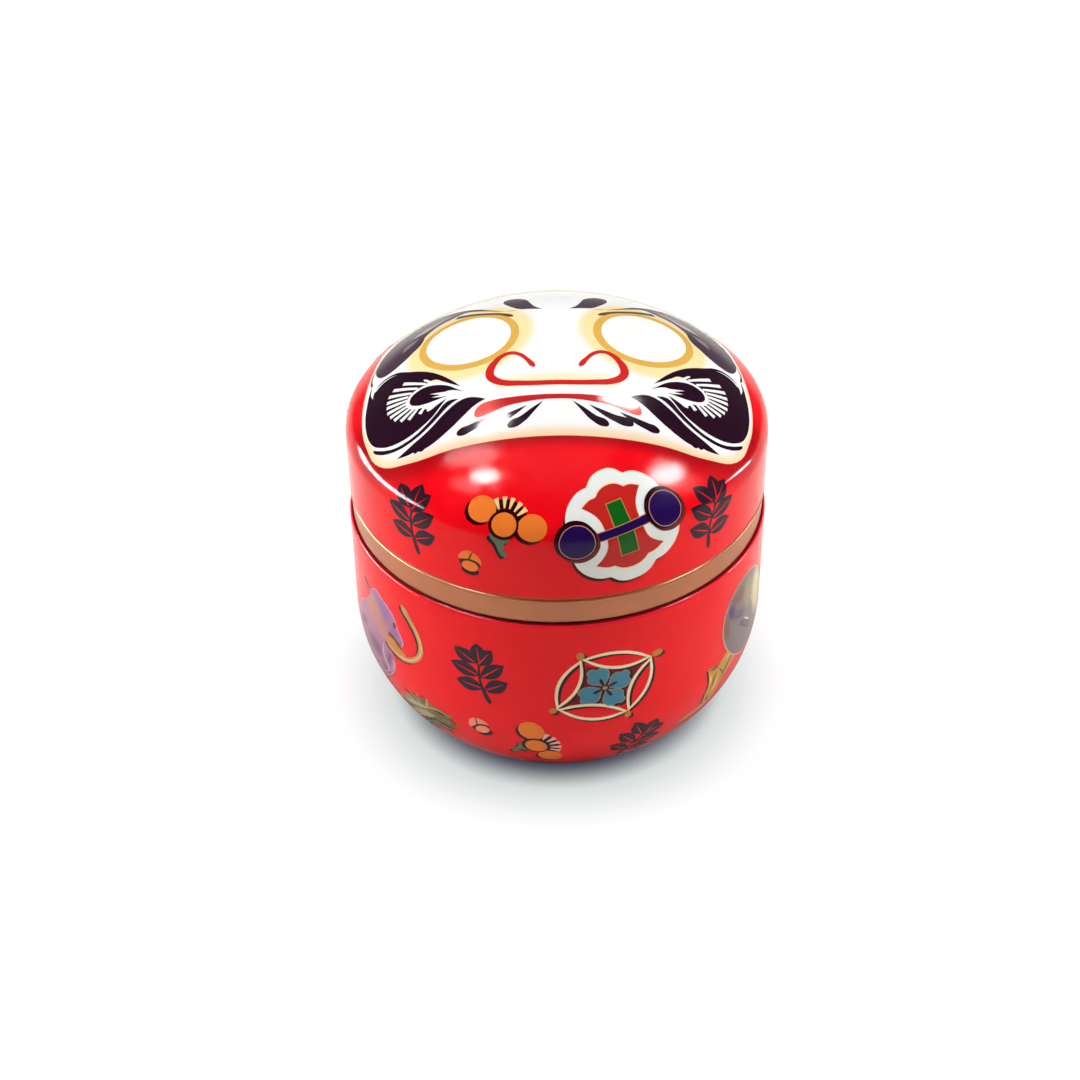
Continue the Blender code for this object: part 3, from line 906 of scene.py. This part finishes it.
splitLook = {
    "seed": ((0, -0.95), 1.62, 1.12),
    "left": [(-2.15, 0.3), (-1.75, 1.5), (-0.8, 2.3), (0.42, 2.4, 0), (-0.32, 0.62, 0), (-1.35, 0.35)],
    "right": [(0.68, 2.2, 0), (1.5, 1.7), (2.15, 0.7), (2.15, -0.3, 0), (1.4, 0.35), (0.0, 0.68, 0)],
    "dark": ((-0.05, -0.2), 2.0, 2.0), "shadow": ((0, -2.0), 1.75, 0.95)}


def printSplitPlum(sheet, centre, turn, tone="orange"):
    put = lambda loops: moved(loops, centre, turn)
    stamp(sheet, "shadow", 1, put([ovalLoop(*splitLook["shadow"])]))
    stamp(sheet, "shadow", 2, put([ovalLoop(*splitLook["dark"])]))
    stamp(sheet, tone, 3, put([ovalLoop(*splitLook["seed"]), splitLook["left"], splitLook["right"]]))


weightLook = {
    "cloud": [(0, 11.1), (2.5, 10.6), (4.3, 9.0, 0), (6.0, 8.75), (7.7, 7.8), (9.1, 6.2), (9.9, 4.0), (9.9, 1.5)],
    "field": [(0, 8.3), (1.9, 7.9), (3.2, 6.9, 0), (4.6, 6.75), (6.4, 5.8, 0), (5.1, 4.7), (4.0, 3.3), (3.5, 1.5)],
    "line": 0.3, "shadow": (-0.45, -0.65), "bar": (1.55, 5.1), "rod": (5.6, 0.72), "disc": 8.75, "discRadius": 3.1,
    "ring": 0.16, "rim": 0.72, "edge": 0.18, "rimFalls": {"discBrown": (0.25, -0.35), "shadow": (-0.25, 0.25)}}


def fourFold(quarter):
    right = quarter + [(p[0], -p[1]) + tuple(p[2:]) for p in reversed(quarter)]
    return right + [(-p[0],) + tuple(p[1:]) for p in reversed(right[1:-1])]


def grown(loop, by):
    return [tuple(Vector(p[:2]) + Vector(p[:2]).normalized() * by) + tuple(p[2:]) for p in loop]


def boxLoop(halfWide, halfHigh):
    return [(-halfWide, -halfHigh, 0), (halfWide, -halfHigh, 0), (halfWide, halfHigh, 0), (-halfWide, halfHigh, 0)]


def printWeight(sheet, centre, turn):
    look = weightLook
    put = lambda loops: moved(loops, centre, turn)
    cloud, field = fourFold(look["cloud"]), fourFold(look["field"])
    (barX, barY), (rodX, rodY), ring = look["bar"], look["rod"], look["ring"]
    stamp(sheet, "shadow", 1, moved(put([cloud]), look["shadow"]))
    layers = [
        ("cream", grown(cloud, look["edge"])), ("ornamentWhite", cloud), ("cream", grown(field, look["line"])),
        ("ornamentRed", field),
        ("barEdge", boxLoop(barX + ring, barY + ring)), ("barGreen", boxLoop(barX, barY)),
        ("barEdge", boxLoop(rodX, rodY + ring)), ("discPurple", boxLoop(rodX, rodY))]
    for level, (ink, loop) in enumerate(layers, 2):
        stamp(sheet, ink, level, put([loop]))
    for side in (-1, 1):
        disc = lambda grow: put([ovalLoop((side * look["disc"], 0), look["discRadius"] + grow)])
        for level, (ink, fall) in enumerate(look["rimFalls"].items(), 10):
            stamp(sheet, ink, level, moved(disc(look["rim"]), fall))
        stamp(sheet, "ringPink", 12, disc(ring))
        stamp(sheet, "discPurple", 13, disc(0))


sprayLook = {
    "stem": ([(0.5, -7.0), (-0.2, -3.0), (0.1, 0.6), (0.8, 3.0)], [0.7, 0.6, 0.5, 0.4]),
    "pairs": [(-4.0, 5.6, 20), (-1.0, 6.3, 30), (1.9, 5.4, 44)], "tip": 4.6, "bulge": 1.6, "rib": 0.24,
    "top": ((0.7, 2.6), (1.1, 2.6)), "stagger": (0.5, 0.3), "ribFrom": (0.1, 0.5, 0.82), "ribShares": (1.0, 0.8, 0.4)}


def printSpray(sheet, centre, turn):
    look = sprayLook
    put = lambda loops: moved(loops, centre, turn)
    stamp(sheet, "sprayDark", 1, put([strokeLoop(*look["stem"])]))
    start, end = look["top"]
    leaves = [(start, (end[0], end[1] + look["tip"]))]
    later, higher = look["stagger"]
    for height, reach, tilt in look["pairs"]:
        out = heading(tilt) * reach
        leaves += [((0, height), (out.x, height + out.y)), ((0, height + later), (-out.x, height + higher + out.y))]
    for k, (start, end) in enumerate(leaves):
        stamp(sheet, "sprayDark", 2 + k % 3, put([lensLoop(start, end, look["bulge"])]))
        rib = [tuple(Vector(start).lerp(Vector(end), t)) for t in look["ribFrom"]]
        stamp(sheet, "red", 5, put([strokeLoop(rib, [look["rib"] * share for share in look["ribShares"]], "fp")]))


def printSheet(name, chart, body, motifs):  # one sheet of prints: each motif's function with its place
    sheet = newPrint(chart)
    for motif, *place in motifs:
        motif(sheet, *place)
    dryPrint(sheet, name, body)


lidPlaces = {
    "lidPlums": [
        (printPlums, (-10.2, 21.0), 0), (printPlums, (-67, 14.6), -14), (printPlums, (75, 14.2), 18),
        (printPlums, (125.4, 18.5), 8), (printSplitPlum, (-16.4, 12.0), 0), (printSplitPlum, (-77, 9.6), -15),
        (printSplitPlum, (87, 9.6), 10), (printSplitPlum, (119, 9.2), 0)],
    "lidWeights": [
        (printWeight, (11.6, 19.8), 10.9), (printWeight, (-104, 17.4), -12), (printWeight, (102, 17.4), 14)],
    "lidSprays": [(printSpray, (-28.9, 16.4), 8), (printSpray, (30.2, 16.2), -10), (printSpray, (-84, 15.4), -20)]}
for sheetName, motifs in lidPlaces.items():
    printSheet(sheetName, onLidWall, "lid", motifs)
print("lid ornaments printed")

patchEdge = (1.35, 0.45)


def patchInk(name, base, patches):  # an ink with soft spots of other inks
    return blendInk(name, inkColours[base], [(label, inkColours[label]) for label in patches])


def softPatches(patches, by):  # soft spots of colour: centre, half length, half width and turn
    def amount(x, y, rim):
        best = 0.0
        for centre, rx, ry, turn in patches:
            c, s = math.cos(math.radians(turn)), math.sin(math.radians(turn))
            dx, dy = x - by[0] - centre[0], y - by[1] - centre[1]
            best = max(best, smoothStep(*patchEdge, math.hypot((dx * c + dy * s) / rx, (dy * c - dx * s) / ry)))
        return best
    return amount


shippoLook = {
    "corners": [(-4.4, 7.5), (9.1, 5.15), (4.55, -6.95), (-9.0, -4.5)], "bulge": 1.8, "line": 0.64,
    "shadow": (0.5, -0.45), "field": 0.78,
    "knobs": [
        ((-4.6, 8.3), 0.75, 0.9), ((10.3, 5.6), 1.1, 0.75), ((4.6, -7.9), 0.65, 0.75), ((-9.7, -4.9), 0.75, 0.65)],
    "petalTurns": (113, 24, -59, 206), "heart": 0.5,
    "petal": [
        (0.6, 0.05), (1.2, 0.85), (2.0, 1.9), (3.2, 2.35), (4.2, 1.8), (5.2, 1.65), (5.6, 0.5), (5.0, -0.35),
        (5.1, -1.4), (4.2, -2.2), (2.6, -2.1), (1.3, -0.95)],
    "lineEnd": 1.5, "fieldGap": 0.5, "petalShadow": (1.03, 0.7), "petalEdge": 0.98, "petalFace": ((0.33, 0), 0.88),
    "vein": ((0.6, 2.3), (0.3, 0.46)), "heartEdge": 0.3}


def printShippo(sheet, centre, turn):
    look = shippoLook
    put = lambda loops: moved(loops, centre, turn)
    corners, half = look["corners"], look["line"] / 2
    fall = Vector(look["shadow"])
    field = []
    for start, end in zip(corners, corners[1:] + corners[:1]):
        start, end = Vector(start), Vector(end)
        along = (end - start).normalized() * look["line"] * look["lineEnd"]
        inner = lensLoop(start + along, end - along, look["bulge"] - half)
        ring = [lensLoop(start, end, look["bulge"] + half), inner]
        stamp(sheet, "shadow", 3, moved(put(ring), fall))
        stamp(sheet, "cream", 6, put(ring))
        middle = (start + end) / 2
        inset = middle.normalized() * (look["bulge"] + look["fieldGap"])
        field += [tuple(start * look["field"]) + (0,), tuple(middle - inset)]
    stamp(sheet, "maroon", 1, put([field]))
    for knob in look["knobs"]:
        stamp(sheet, "shadow", 4, moved(put([ovalLoop(*knob)]), fall))
        stamp(sheet, "knobGold", 7, put([ovalLoop(*knob)]))
    grow, share = look["petalShadow"]
    veinReach, veinWidths = look["vein"]
    for a in look["petalTurns"]:
        petal = lambda size, shift=(0, 0): put(moved(moved([look["petal"]], shift, 0, size), (0, 0), a))
        stamp(sheet, "shadow", 2, moved(petal(grow), fall * share))
        stamp(sheet, "petalGrey", 5, petal(look["petalEdge"]))
        shift, size = look["petalFace"]
        stamp(sheet, "petalBlue", 6, petal(size, shift))
        stamp(sheet, "shadow", 7, put([strokeLoop([heading(a) * reach for reach in veinReach], veinWidths, "fr")]))
    stamp(sheet, "shadow", 8, put([ovalLoop((0, 0), look["heart"] + look["heartEdge"])]))
    stamp(sheet, "petalGrey", 9, put([ovalLoop((0, 0), look["heart"])]))


pouchLook = {
    "cord": (
        [
            (-32.6, -5.2), (-30.6, -7.5), (-29, -9.9), (-28.3, -12.3), (-28.6, -14.6), (-30.1, -16.7), (-32.1, -18),
            (-34.5, -18.4), (-36.8, -18), (-38.2, -17.5)],
        [1.15, 1.2, 1.15, 1.15, 1.2, 1.15, 1.1, 1.05, 1.0, 0.8]),
    "cordShadow": (-0.5, -0.5), "cordGleam": 0.36,
    "bag": [
        (-42, -6.7), (-39.2, -7.5), (-36.8, -8.4), (-35.4, -9.6), (-34.9, -10.8), (-34.5, -12), (-33.8, -13),
        (-33.1, -14.4), (-33.7, -16.1, 0), (-35.6, -15.2), (-37.6, -14.9, 0), (-38.9, -17.1), (-37.3, -19.2),
        (-36.2, -20.9), (-36.4, -23.2), (-37.7, -25.3), (-39.8, -27.5), (-43.1, -29.7), (-47.4, -29.4), (-51, -26.8),
        (-52.7, -22.6), (-52, -18), (-49.6, -14.8), (-46.6, -12.4), (-44.4, -9.6)],
    "inset": ((-1.2, -0.53), 0.975), "cut": 0.7,
    "flap": [(-38.6, -16.1), (-36.8, -15.3), (-34.3, -16.3), (-32.6, -17.6), (-35.2, -18.1), (-38.3, -17.6)],
    "patches": {
        "lilacCool": [((-39.6, -9.9), 3.2, 1.9, -25), ((-35.6, -13.0), 1.2, 1.6, 20)],
        "lilacWarm": [((-43.2, -12.8), 3.6, 4.4, 30), ((-39.6, -15.4), 1.6, 2.6, -30)],
        "lilacShade": [
            ((-43.6, -22.0), 3.7, 2.2, -8), ((-38.1, -21.6), 0.8, 2.0, -15), ((-49.4, -19.6), 2.2, 1.4, 25),
            ((-40.2, -25.6), 2.2, 1.2, -35)]},
    "lights": [
        ([(-39.8, -18.4), (-40.3, -21.4), (-39.0, -24.9), (-41, -27)], [0.3, 0.7, 0.6, 0.2]),
        ([(-36.9, -20.2), (-36.7, -22.6), (-38.2, -24.8)], [0.2, 0.5, 0.2]),
        ([(-45.0, -7.4), (-44.0, -9.2), (-42.6, -10.6)], [0.4, 0.5, 0.2])],
    "ties": ([(-46.8, -7.4), (-45.2, -8.6), (-43.6, -9.6)], [0.4, 0.8, 0.3]),
    "crease": ([(-37.6, -14.5), (-36, -14.9), (-33.9, -16.2)], [0.45, 0.7, 0.5]), "knot": ((-35.5, -11.5), 0.5, 0.65),
    "bagShadow": (-0.3, -0.5), "gleamShift": (0.16, 0.14)}


inks["pouch"] = patchInk("pouchInk", "lilac", pouchLook["patches"])


def printPouch(sheet, by):
    look = pouchLook
    put = lambda loops: moved(loops, by)
    path, widths = look["cord"]
    shift, size = look["inset"]
    stamp(sheet, "shadow", 1, moved(put([look["bag"]]), look["bagShadow"]))
    stamp(sheet, "lilacLight", 2, put([look["bag"]]))
    paint = {label: softPatches(patches, by) for label, patches in look["patches"].items()}
    stamp(sheet, "pouch", 3, put(moved([look["bag"]], shift, 0, size)), paint, look["cut"])
    stamp(sheet, "hatBrown", 4, put([strokeLoop(*look["ties"])]))
    stamp(sheet, "knobGold", 4, put([look["flap"]]))
    for fold in look["lights"]:
        stamp(sheet, "lilacLight", 5, put([strokeLoop(*fold, "pp")]))
    stamp(sheet, "discBrown", 5, put([strokeLoop(*look["crease"]), ovalLoop(*look["knot"])]))
    cord = put([strokeLoop(path, widths)])
    stamp(sheet, "shadow", 5, moved(cord, look["cordShadow"]))
    stamp(sheet, "cordGold", 6, cord)
    gleam = moved([path[1:-1]], look["gleamShift"])[0]
    stamp(sheet, "cordLight", 7, put([strokeLoop(gleam, [look["cordGleam"]] * len(gleam), "pp")]))


strawLook = {
    "root": [
        (-28.0, -27.0), (-31.6, -26.9), (-34.4, -29.4), (-37.2, -32.4), (-40.2, -36.6), (-36.4, -39.0),
        (-31.6, -36.6), (-28.2, -34.0), (-26.6, -31.4)],
    "brush": [
        ((-22.2, -28.0), 0.95), ((-21.7, -29.5), 0.8), ((-21.6, -30.9), 0.75), ((-22.3, -32.6), 0.8),
        ((-23.9, -34.5), 0.8)],
    "waist": ((-28.6, -27.8), (-27.0, -33.4)), "inks": ("strawLight", "straw", "strawLight", "strawShade", "straw"),
    "width": 0.42, "strands": 34, "rootTurn": (196, 232), "rootReach": 11.5, "tufts": 13, "tuftTurn": (86, 168),
    "tuftReach": 3.4, "hairs": 13, "tips": ((-22.1, -27.9), (-21.6, -30.6), (-23.6, -34.5)),
    "gaps": [
        ((-27.0, -28.2), (-23.4, -28.1), 0.8), ((-27.8, -30.2), (-21.9, -30.5), 0.5),
        ((-27.9, -31.8), (-23.2, -32.1), 0.5), ((-27.4, -33.2), (-23.4, -33.9), 0.6)],
    "strandShape": (0.55, 0.5, 0.12), "rootSway": (0.7, 5), "rootShort": (0.8, 0.2),
    "tuftFrom": ((-27.6, -27.9), (-32.2, -28.8)), "tuftSway": 16, "tuftShort": (0.8, 0.35), "brushBack": (-0.8, 0),
    "hairWidths": (0.2, 0.8, 0.1), "hairLift": 0.5, "stride": 7,
    "paces": {
        "bow": (1.3, 1), "aside": (2.3, 0), "fan": (2.7, 0), "reach": (1.9, 0), "tuftTurn": (2.1, 0),
        "tuftReach": (3.1, 0)}}


def printStraw(sheet, by):
    look = strawLook
    put = lambda loops: moved(loops, by)
    top, foot = [Vector(p) for p in look["waist"]]
    between = lambda pair, t: pair[0] + (pair[1] - pair[0]) * t
    bend, bowed, tip = look["strandShape"]

    def sway(name, k):  # uneven, but the same on every run
        pace, start = look["paces"][name]
        return math.sin(pace * k + start)

    def strand(k, start, turn, reach):
        out = heading(turn)
        bow = Vector((-out.y, out.x)) * bowed * sway("bow", k)
        path = [start, start + out * reach * bend + bow, start + out * reach]
        stamp(sheet, look["inks"][k % 5], 2 + (k * 2) % 5,
            put([strokeLoop(path, [look["width"], look["width"], tip], "rp")]))

    stamp(sheet, "straw", 1, put([look["root"]]))
    aside, fan = look["rootSway"]
    full, less = look["rootShort"]
    for k in range(look["strands"]):
        t = (k * look["stride"] % look["strands"]) / (look["strands"] - 1)
        start = top.lerp(foot, t) + Vector((aside * sway("aside", k), 0))
        strand(k, start, between(look["rootTurn"], t) + fan * sway("fan", k),
            look["rootReach"] * (full + less * sway("reach", k)))
    tuftTop, tuftFoot = [Vector(p) for p in look["tuftFrom"]]
    full, less = look["tuftShort"]
    for k in range(look["tufts"]):
        t = k / (look["tufts"] - 1)
        turn = between(look["tuftTurn"], t) + look["tuftSway"] * sway("tuftTurn", k)
        strand(k, tuftTop.lerp(tuftFoot, t), turn, look["tuftReach"] * (full + less * sway("tuftReach", k)))
    for k, (end, bulge) in enumerate(look["brush"]):
        start = top.lerp(foot, k / (len(look["brush"]) - 1)) + Vector(look["brushBack"])
        stamp(sheet, "straw", 5 + k % 2, put([lensLoop(start, end, bulge)]))
    high, middle, low = [Vector(p) for p in look["tips"]]
    thin, share, tip = look["hairWidths"]
    for k in range(look["hairs"]):
        t = k / (look["hairs"] - 1)
        end = high.lerp(middle, t * 2) if t < 0.5 else middle.lerp(low, t * 2 - 1)
        start = top.lerp(foot, t)
        path = [start, start.lerp(end, 0.5) + Vector((0, look["hairLift"] - t)), end]
        stamp(sheet, look["inks"][(k * 2) % 5], 7 + k % 2,
            put([strokeLoop(path, [thin, look["width"] * share, tip], "pp")]))
    for start, end, wide in look["gaps"]:
        stamp(sheet, "strawShade", 9, put([lensLoop(start, end, wide / 2)]))


hatLook = {
    "oval": ((44.6, -15.2), 10.8, 8.9, -55), "line": 0.3, "cut": 0.6,
    "patches": {
        "hatBrown": [((40.6, -8.6), 2.9, 1.9, 0), ((36.4, -13.8), 1.0, 3.4, 14)],
        "hatMauve": [((41.0, -13.2), 3.2, 1.3, -28), ((44.6, -18.2), 3.6, 0.9, -42)],
        "hatShade": [((37.9, -10.9), 1.3, 2.0, 10), ((42.4, -16.6), 1.5, 0.5, -45)],
        "hatOlive": [((45.2, -10.6), 2.4, 4.2, 12)], "hatPale": [((50.6, -14.0), 3.2, 6.6, 18)]},
    "threads": [
        ("hatPale", (43.4, -16.0), (46.4, -18.6), 0.42), ("hatShade", (40.8, -16.0), (46.6, -20.6), 0.3),
        ("hatShade", (38.6, -12.6), (42.8, -15.0), 0.3), ("hatPale", (46.6, -12.6), (48.6, -16.6), 0.3)],
    "ribbon": [
        (31.2, -20.9, 0), (34.6, -21.3), (37.9, -19.8), (40, -20.6), (40.8, -23), (37.9, -25.4), (35.6, -28.3),
        (34.8, -31.4), (32.6, -32.2), (31.5, -28.6), (31.9, -25.2)],
    "tail": ([(33.6, -31), (31, -32.2), (28, -32.8), (25.1, -33.2)], [2.2, 1.9, 1.5, 0.5]),
    "folds": [
        ("malletLight", [(31.7, -22.2), (32.3, -24.2), (32.1, -26.4)], [0.3, 0.6, 0.2]),
        ("malletShade", [(31.4, -21.3), (33.2, -21.7), (35.2, -21.5)], [0.3, 0.8, 0.4]),
        ("malletShade", [(33.8, -22.6), (33.4, -25), (33.0, -27.6)], [0.2, 0.6, 0.2]),
        ("malletLight", [(34.6, -24.4), (34.2, -26.4), (33.6, -28.8)], [0.2, 0.7, 0.2]),
        ("malletShade", [(34.6, -22.6), (35.8, -24.2), (36.6, -26)], [0.2, 0.5, 0.2]),
        ("hatBrown", [(40.2, -21.6), (37.6, -23.6), (35.6, -27)], [0.4, 0.9, 0.2]),
        ("malletLight", [(36.4, -21.8), (38, -21.4), (39.4, -21.2)], [0.2, 0.5, 0.2]),
        ("malletShade", [(32.4, -28.4), (32.8, -30.2), (33.4, -31.6)], [0.2, 0.6, 0.2])],
    "ribbonShadow": (-0.4, -0.4), "knots": 16}


inks["hat"] = patchInk("hatInk", "hatGrey", hatLook["patches"])


def printHat(sheet, by):
    look = hatLook
    put = lambda loops: moved(loops, by)
    centre, rx, ry, turn = look["oval"]
    oval = lambda less: put([ovalLoop(centre, rx - less, ry - less, turn, look["knots"])])
    stamp(sheet, "shadow", 1, moved(put([look["ribbon"]]), look["ribbonShadow"]))
    stamp(sheet, "cordGold", 2, put([strokeLoop(*look["tail"], "rp")]))
    stamp(sheet, "malletGold", 3, put([look["ribbon"]]))
    for ink, path, widths in look["folds"]:
        stamp(sheet, ink, 4, put([strokeLoop(path, widths, "pp")]))
    stamp(sheet, "hatEdge", 6, oval(0))
    paint = {label: softPatches(patches, by) for label, patches in look["patches"].items()}
    stamp(sheet, "hat", 7, oval(look["line"]), paint, look["cut"])
    for ink, start, end, wide in look["threads"]:
        stamp(sheet, ink, 8, put([lensLoop(start, end, wide / 2)]))


bodyPlaces = {
    "bodyShippo": [(printShippo, (8.2, -15.4), 0), (printShippo, (-95, -14), 18), (printShippo, (87, -24), -25)],
    "bodyPlums": [
        (printPlums, (-4.9, -31.3), -58, "rayPink"), (printPlums, (73, -12), 30), (printPlums, (-73, -12), 15),
        (printSplitPlum, (-16.0, -27.5), 30, "salmon"), (printSplitPlum, (87, -8), -25, "salmon"),
        (printSplitPlum, (-104, -31), 0, "salmon"), (printSplitPlum, (104, -35), 15, "salmon")],
    "bodyPouches": [(printPouch, (0, 0)), (printPouch, (152, -2))],
    "bodyStraw": [(printStraw, (0, 0)), (printStraw, (-43, 1))],
    "bodyHats": [(printHat, (0, 0)), (printHat, (-162, 0))],
    "bodySprays": [
        (printSpray, (-15.4, -13.4), 12), (printSpray, (15.6, -33.4), -24), (printSpray, (69, -31), 20),
        (printSpray, (-91.5, -34), -30)]}
for sheetName, motifs in bodyPlaces.items():
    printSheet(sheetName, onBody, "body", motifs)
print("body ornaments printed")

# the floor's shadow is painted: the darkest colour and the shade near the object for the camera, and a dim tone near
# the object for other rays
floorLook = {
    "half": 3.0, "tone": (249, 245, 238), "dim": (84, 78, 76), "seen": (0.12, 0.12, 0.12, 1.0),
    "open": (0.91, 0.91, 0.91, 1.0), "shade": (0.6, 0.67, 0.66, 1.0), "contactShadow": (0.03, 0.03, 0.06, 1.0),
    "shadeReach": 0.02, "contactShadowReach": 0.008, "bounceReach": 0.05, "shadeFrom": (0.42, 0.8),
    "contactShadowFrom": (0.2, 0.6), "bounceFrom": (0.4, 0.9), "gloss": 0.6, "samples": 16}


def nearness(tree, name):  # 1 in the open, 0 right under the object
    reach, (low, high) = floorLook[name + "Reach"], floorLook[name + "From"]
    near = newNode(tree, "AmbientOcclusion", {"Distance": reach}, "AO", samples=floorLook["samples"])
    return mapRange(tree, near, low, high, 0.0, 1.0)


def makeFloor():
    look = floorLook
    bm = bmesh.new()
    bmesh.ops.create_grid(bm, x_segments=1, y_segments=1, size=look["half"])
    mesh = bpy.data.meshes.new("floor")
    bm.to_mesh(mesh)
    bm.free()
    floor = bpy.data.objects.new("floor", mesh)
    scene.collection.objects.link(floor)
    material = bpy.data.materials.new("paleFloor")
    material.use_nodes = True
    tree = material.node_tree
    shader = tree.nodes["Principled BSDF"].inputs
    seen = newNode(tree, "LightPath", {}, "Is Camera Ray")  # the camera sees white with the object's shadow, painted into the emission from ambient occlusion
    # for other rays the floor turns dim near the object, a painted shadow for its reflections and bounce light
    pale = mixColour(tree, nearness(tree, "bounce"), linear(look["dim"]), linear(look["tone"]))
    shade = mixColour(tree, nearness(tree, "shade"), look["shade"], look["open"])
    feeds = {
        "Roughness": look["gloss"], "Specular IOR Level": 0.0,
        "Base Color": mixColour(tree, seen, pale, look["seen"]),
        "Emission Color": mixColour(tree, nearness(tree, "contactShadow"), look["contactShadow"], shade),
        "Emission Strength": seen}
    for label, value in feeds.items():
        link(tree, value, shader[label])
    mesh.materials.append(material)


makeFloor()

skyLook = {
    "tone": (1.0, 1.0, 1.0, 1.0), "light": 0.023, "horizon": 0.06, "overhead": 0.003, "fadeLow": 0.16,
    "fadeHigh": 0.28, "seen": 0.92}


def makeSky():  # a dim room, dark overhead; the camera sees plain white
    look = skyLook
    world = bpy.data.worlds.new("studio")
    scene.world = world
    world.use_nodes = True
    tree = world.node_tree
    back = tree.nodes["Background"].inputs
    link(tree, look["tone"], back["Color"])
    path = tree.nodes.new("ShaderNodeLightPath").outputs
    height = newNode(tree, "SeparateXYZ", {0: newNode(tree, "TexCoord", {}, "Generated")}, 2)
    shine = mapRange(tree, height, look["fadeLow"], look["fadeHigh"], look["horizon"], look["overhead"])
    level = mapRange(tree, path["Is Glossy Ray"], 0.0, 1.0, look["light"], shine)
    link(tree, mapRange(tree, path["Is Camera Ray"], 0.0, 1.0, level, look["seen"]), back["Strength"])


makeSky()

lampCentre = Vector((0, 0, 60)) * mm
# turn, rise, distance, size, roll and power; a box only lights the caddy, the rest only shine in its lacquer
lamps = {
    "topBox": (180, 88, 0.9, (0.7, 0.7), 0, 6.2),
    "leftBox": (-86, 20, 0.9, (0.5, 0.5), 0, 5.8),
    "rightBox": (86, 20, 0.9, (0.5, 0.5), 0, 5.4),
    "leftCore": (-114.7, 59.9, 0.62, (0.12, 0.055), 47, 1.5),
    "leftPanel": (-93, 58.6, 0.63, (0.23, 0.09), 68, 0.75),
    "leftTail": (-110.5, 52.2, 0.63, (0.15, 0.05), 31, 0.13),
    "rightCore": (99.4, 48.3, 0.62, (0.16, 0.08), -43, 2.2),
    "rightTail": (97.2, 39.9, 0.63, (0.13, 0.07), -34, 0.08),
    "leftGlint": (-65.5, 65.8, 0.62, (0.12, 0.055), -53, 2.9),
    "rightGlint": (47.0, 61, 0.62, (0.13, 0.055), 46, 2.5),
    "leftStrip": (-88.3, 6.7, 0.63, (0.54, 0.1), 16, 7.0),
    "leftEnd": (-67, 2.2, 0.63, (0.16, 0.12), 3, 1.9),
    "rightStrip": (78.8, 4.2, 0.63, (0.28, 0.022), -41, 1.4)}


def makeLamps():
    for name, (turn, rise, far, size, roll, power) in lamps.items():
        data = bpy.data.lights.new(name, "AREA")
        data.shape = "ELLIPSE"
        data.size, data.size_y = size
        data.energy = power
        light = bpy.data.objects.new(name, data)
        light.visible_diffuse = name.endswith("Box")
        light.visible_glossy = not light.visible_diffuse
        scene.collection.objects.link(light)
        turn, rise = math.radians(turn), math.radians(rise)
        aim = Vector((math.sin(turn) * math.cos(rise), math.cos(turn) * math.cos(rise), math.sin(rise)))
        facing = aim.to_track_quat("Z", "Y").to_matrix().to_4x4() @ Matrix.Rotation(math.radians(roll), 4, "Z")
        light.matrix_world = Matrix.Translation(lampCentre + aim * far) @ facing


makeLamps()
print("light set")
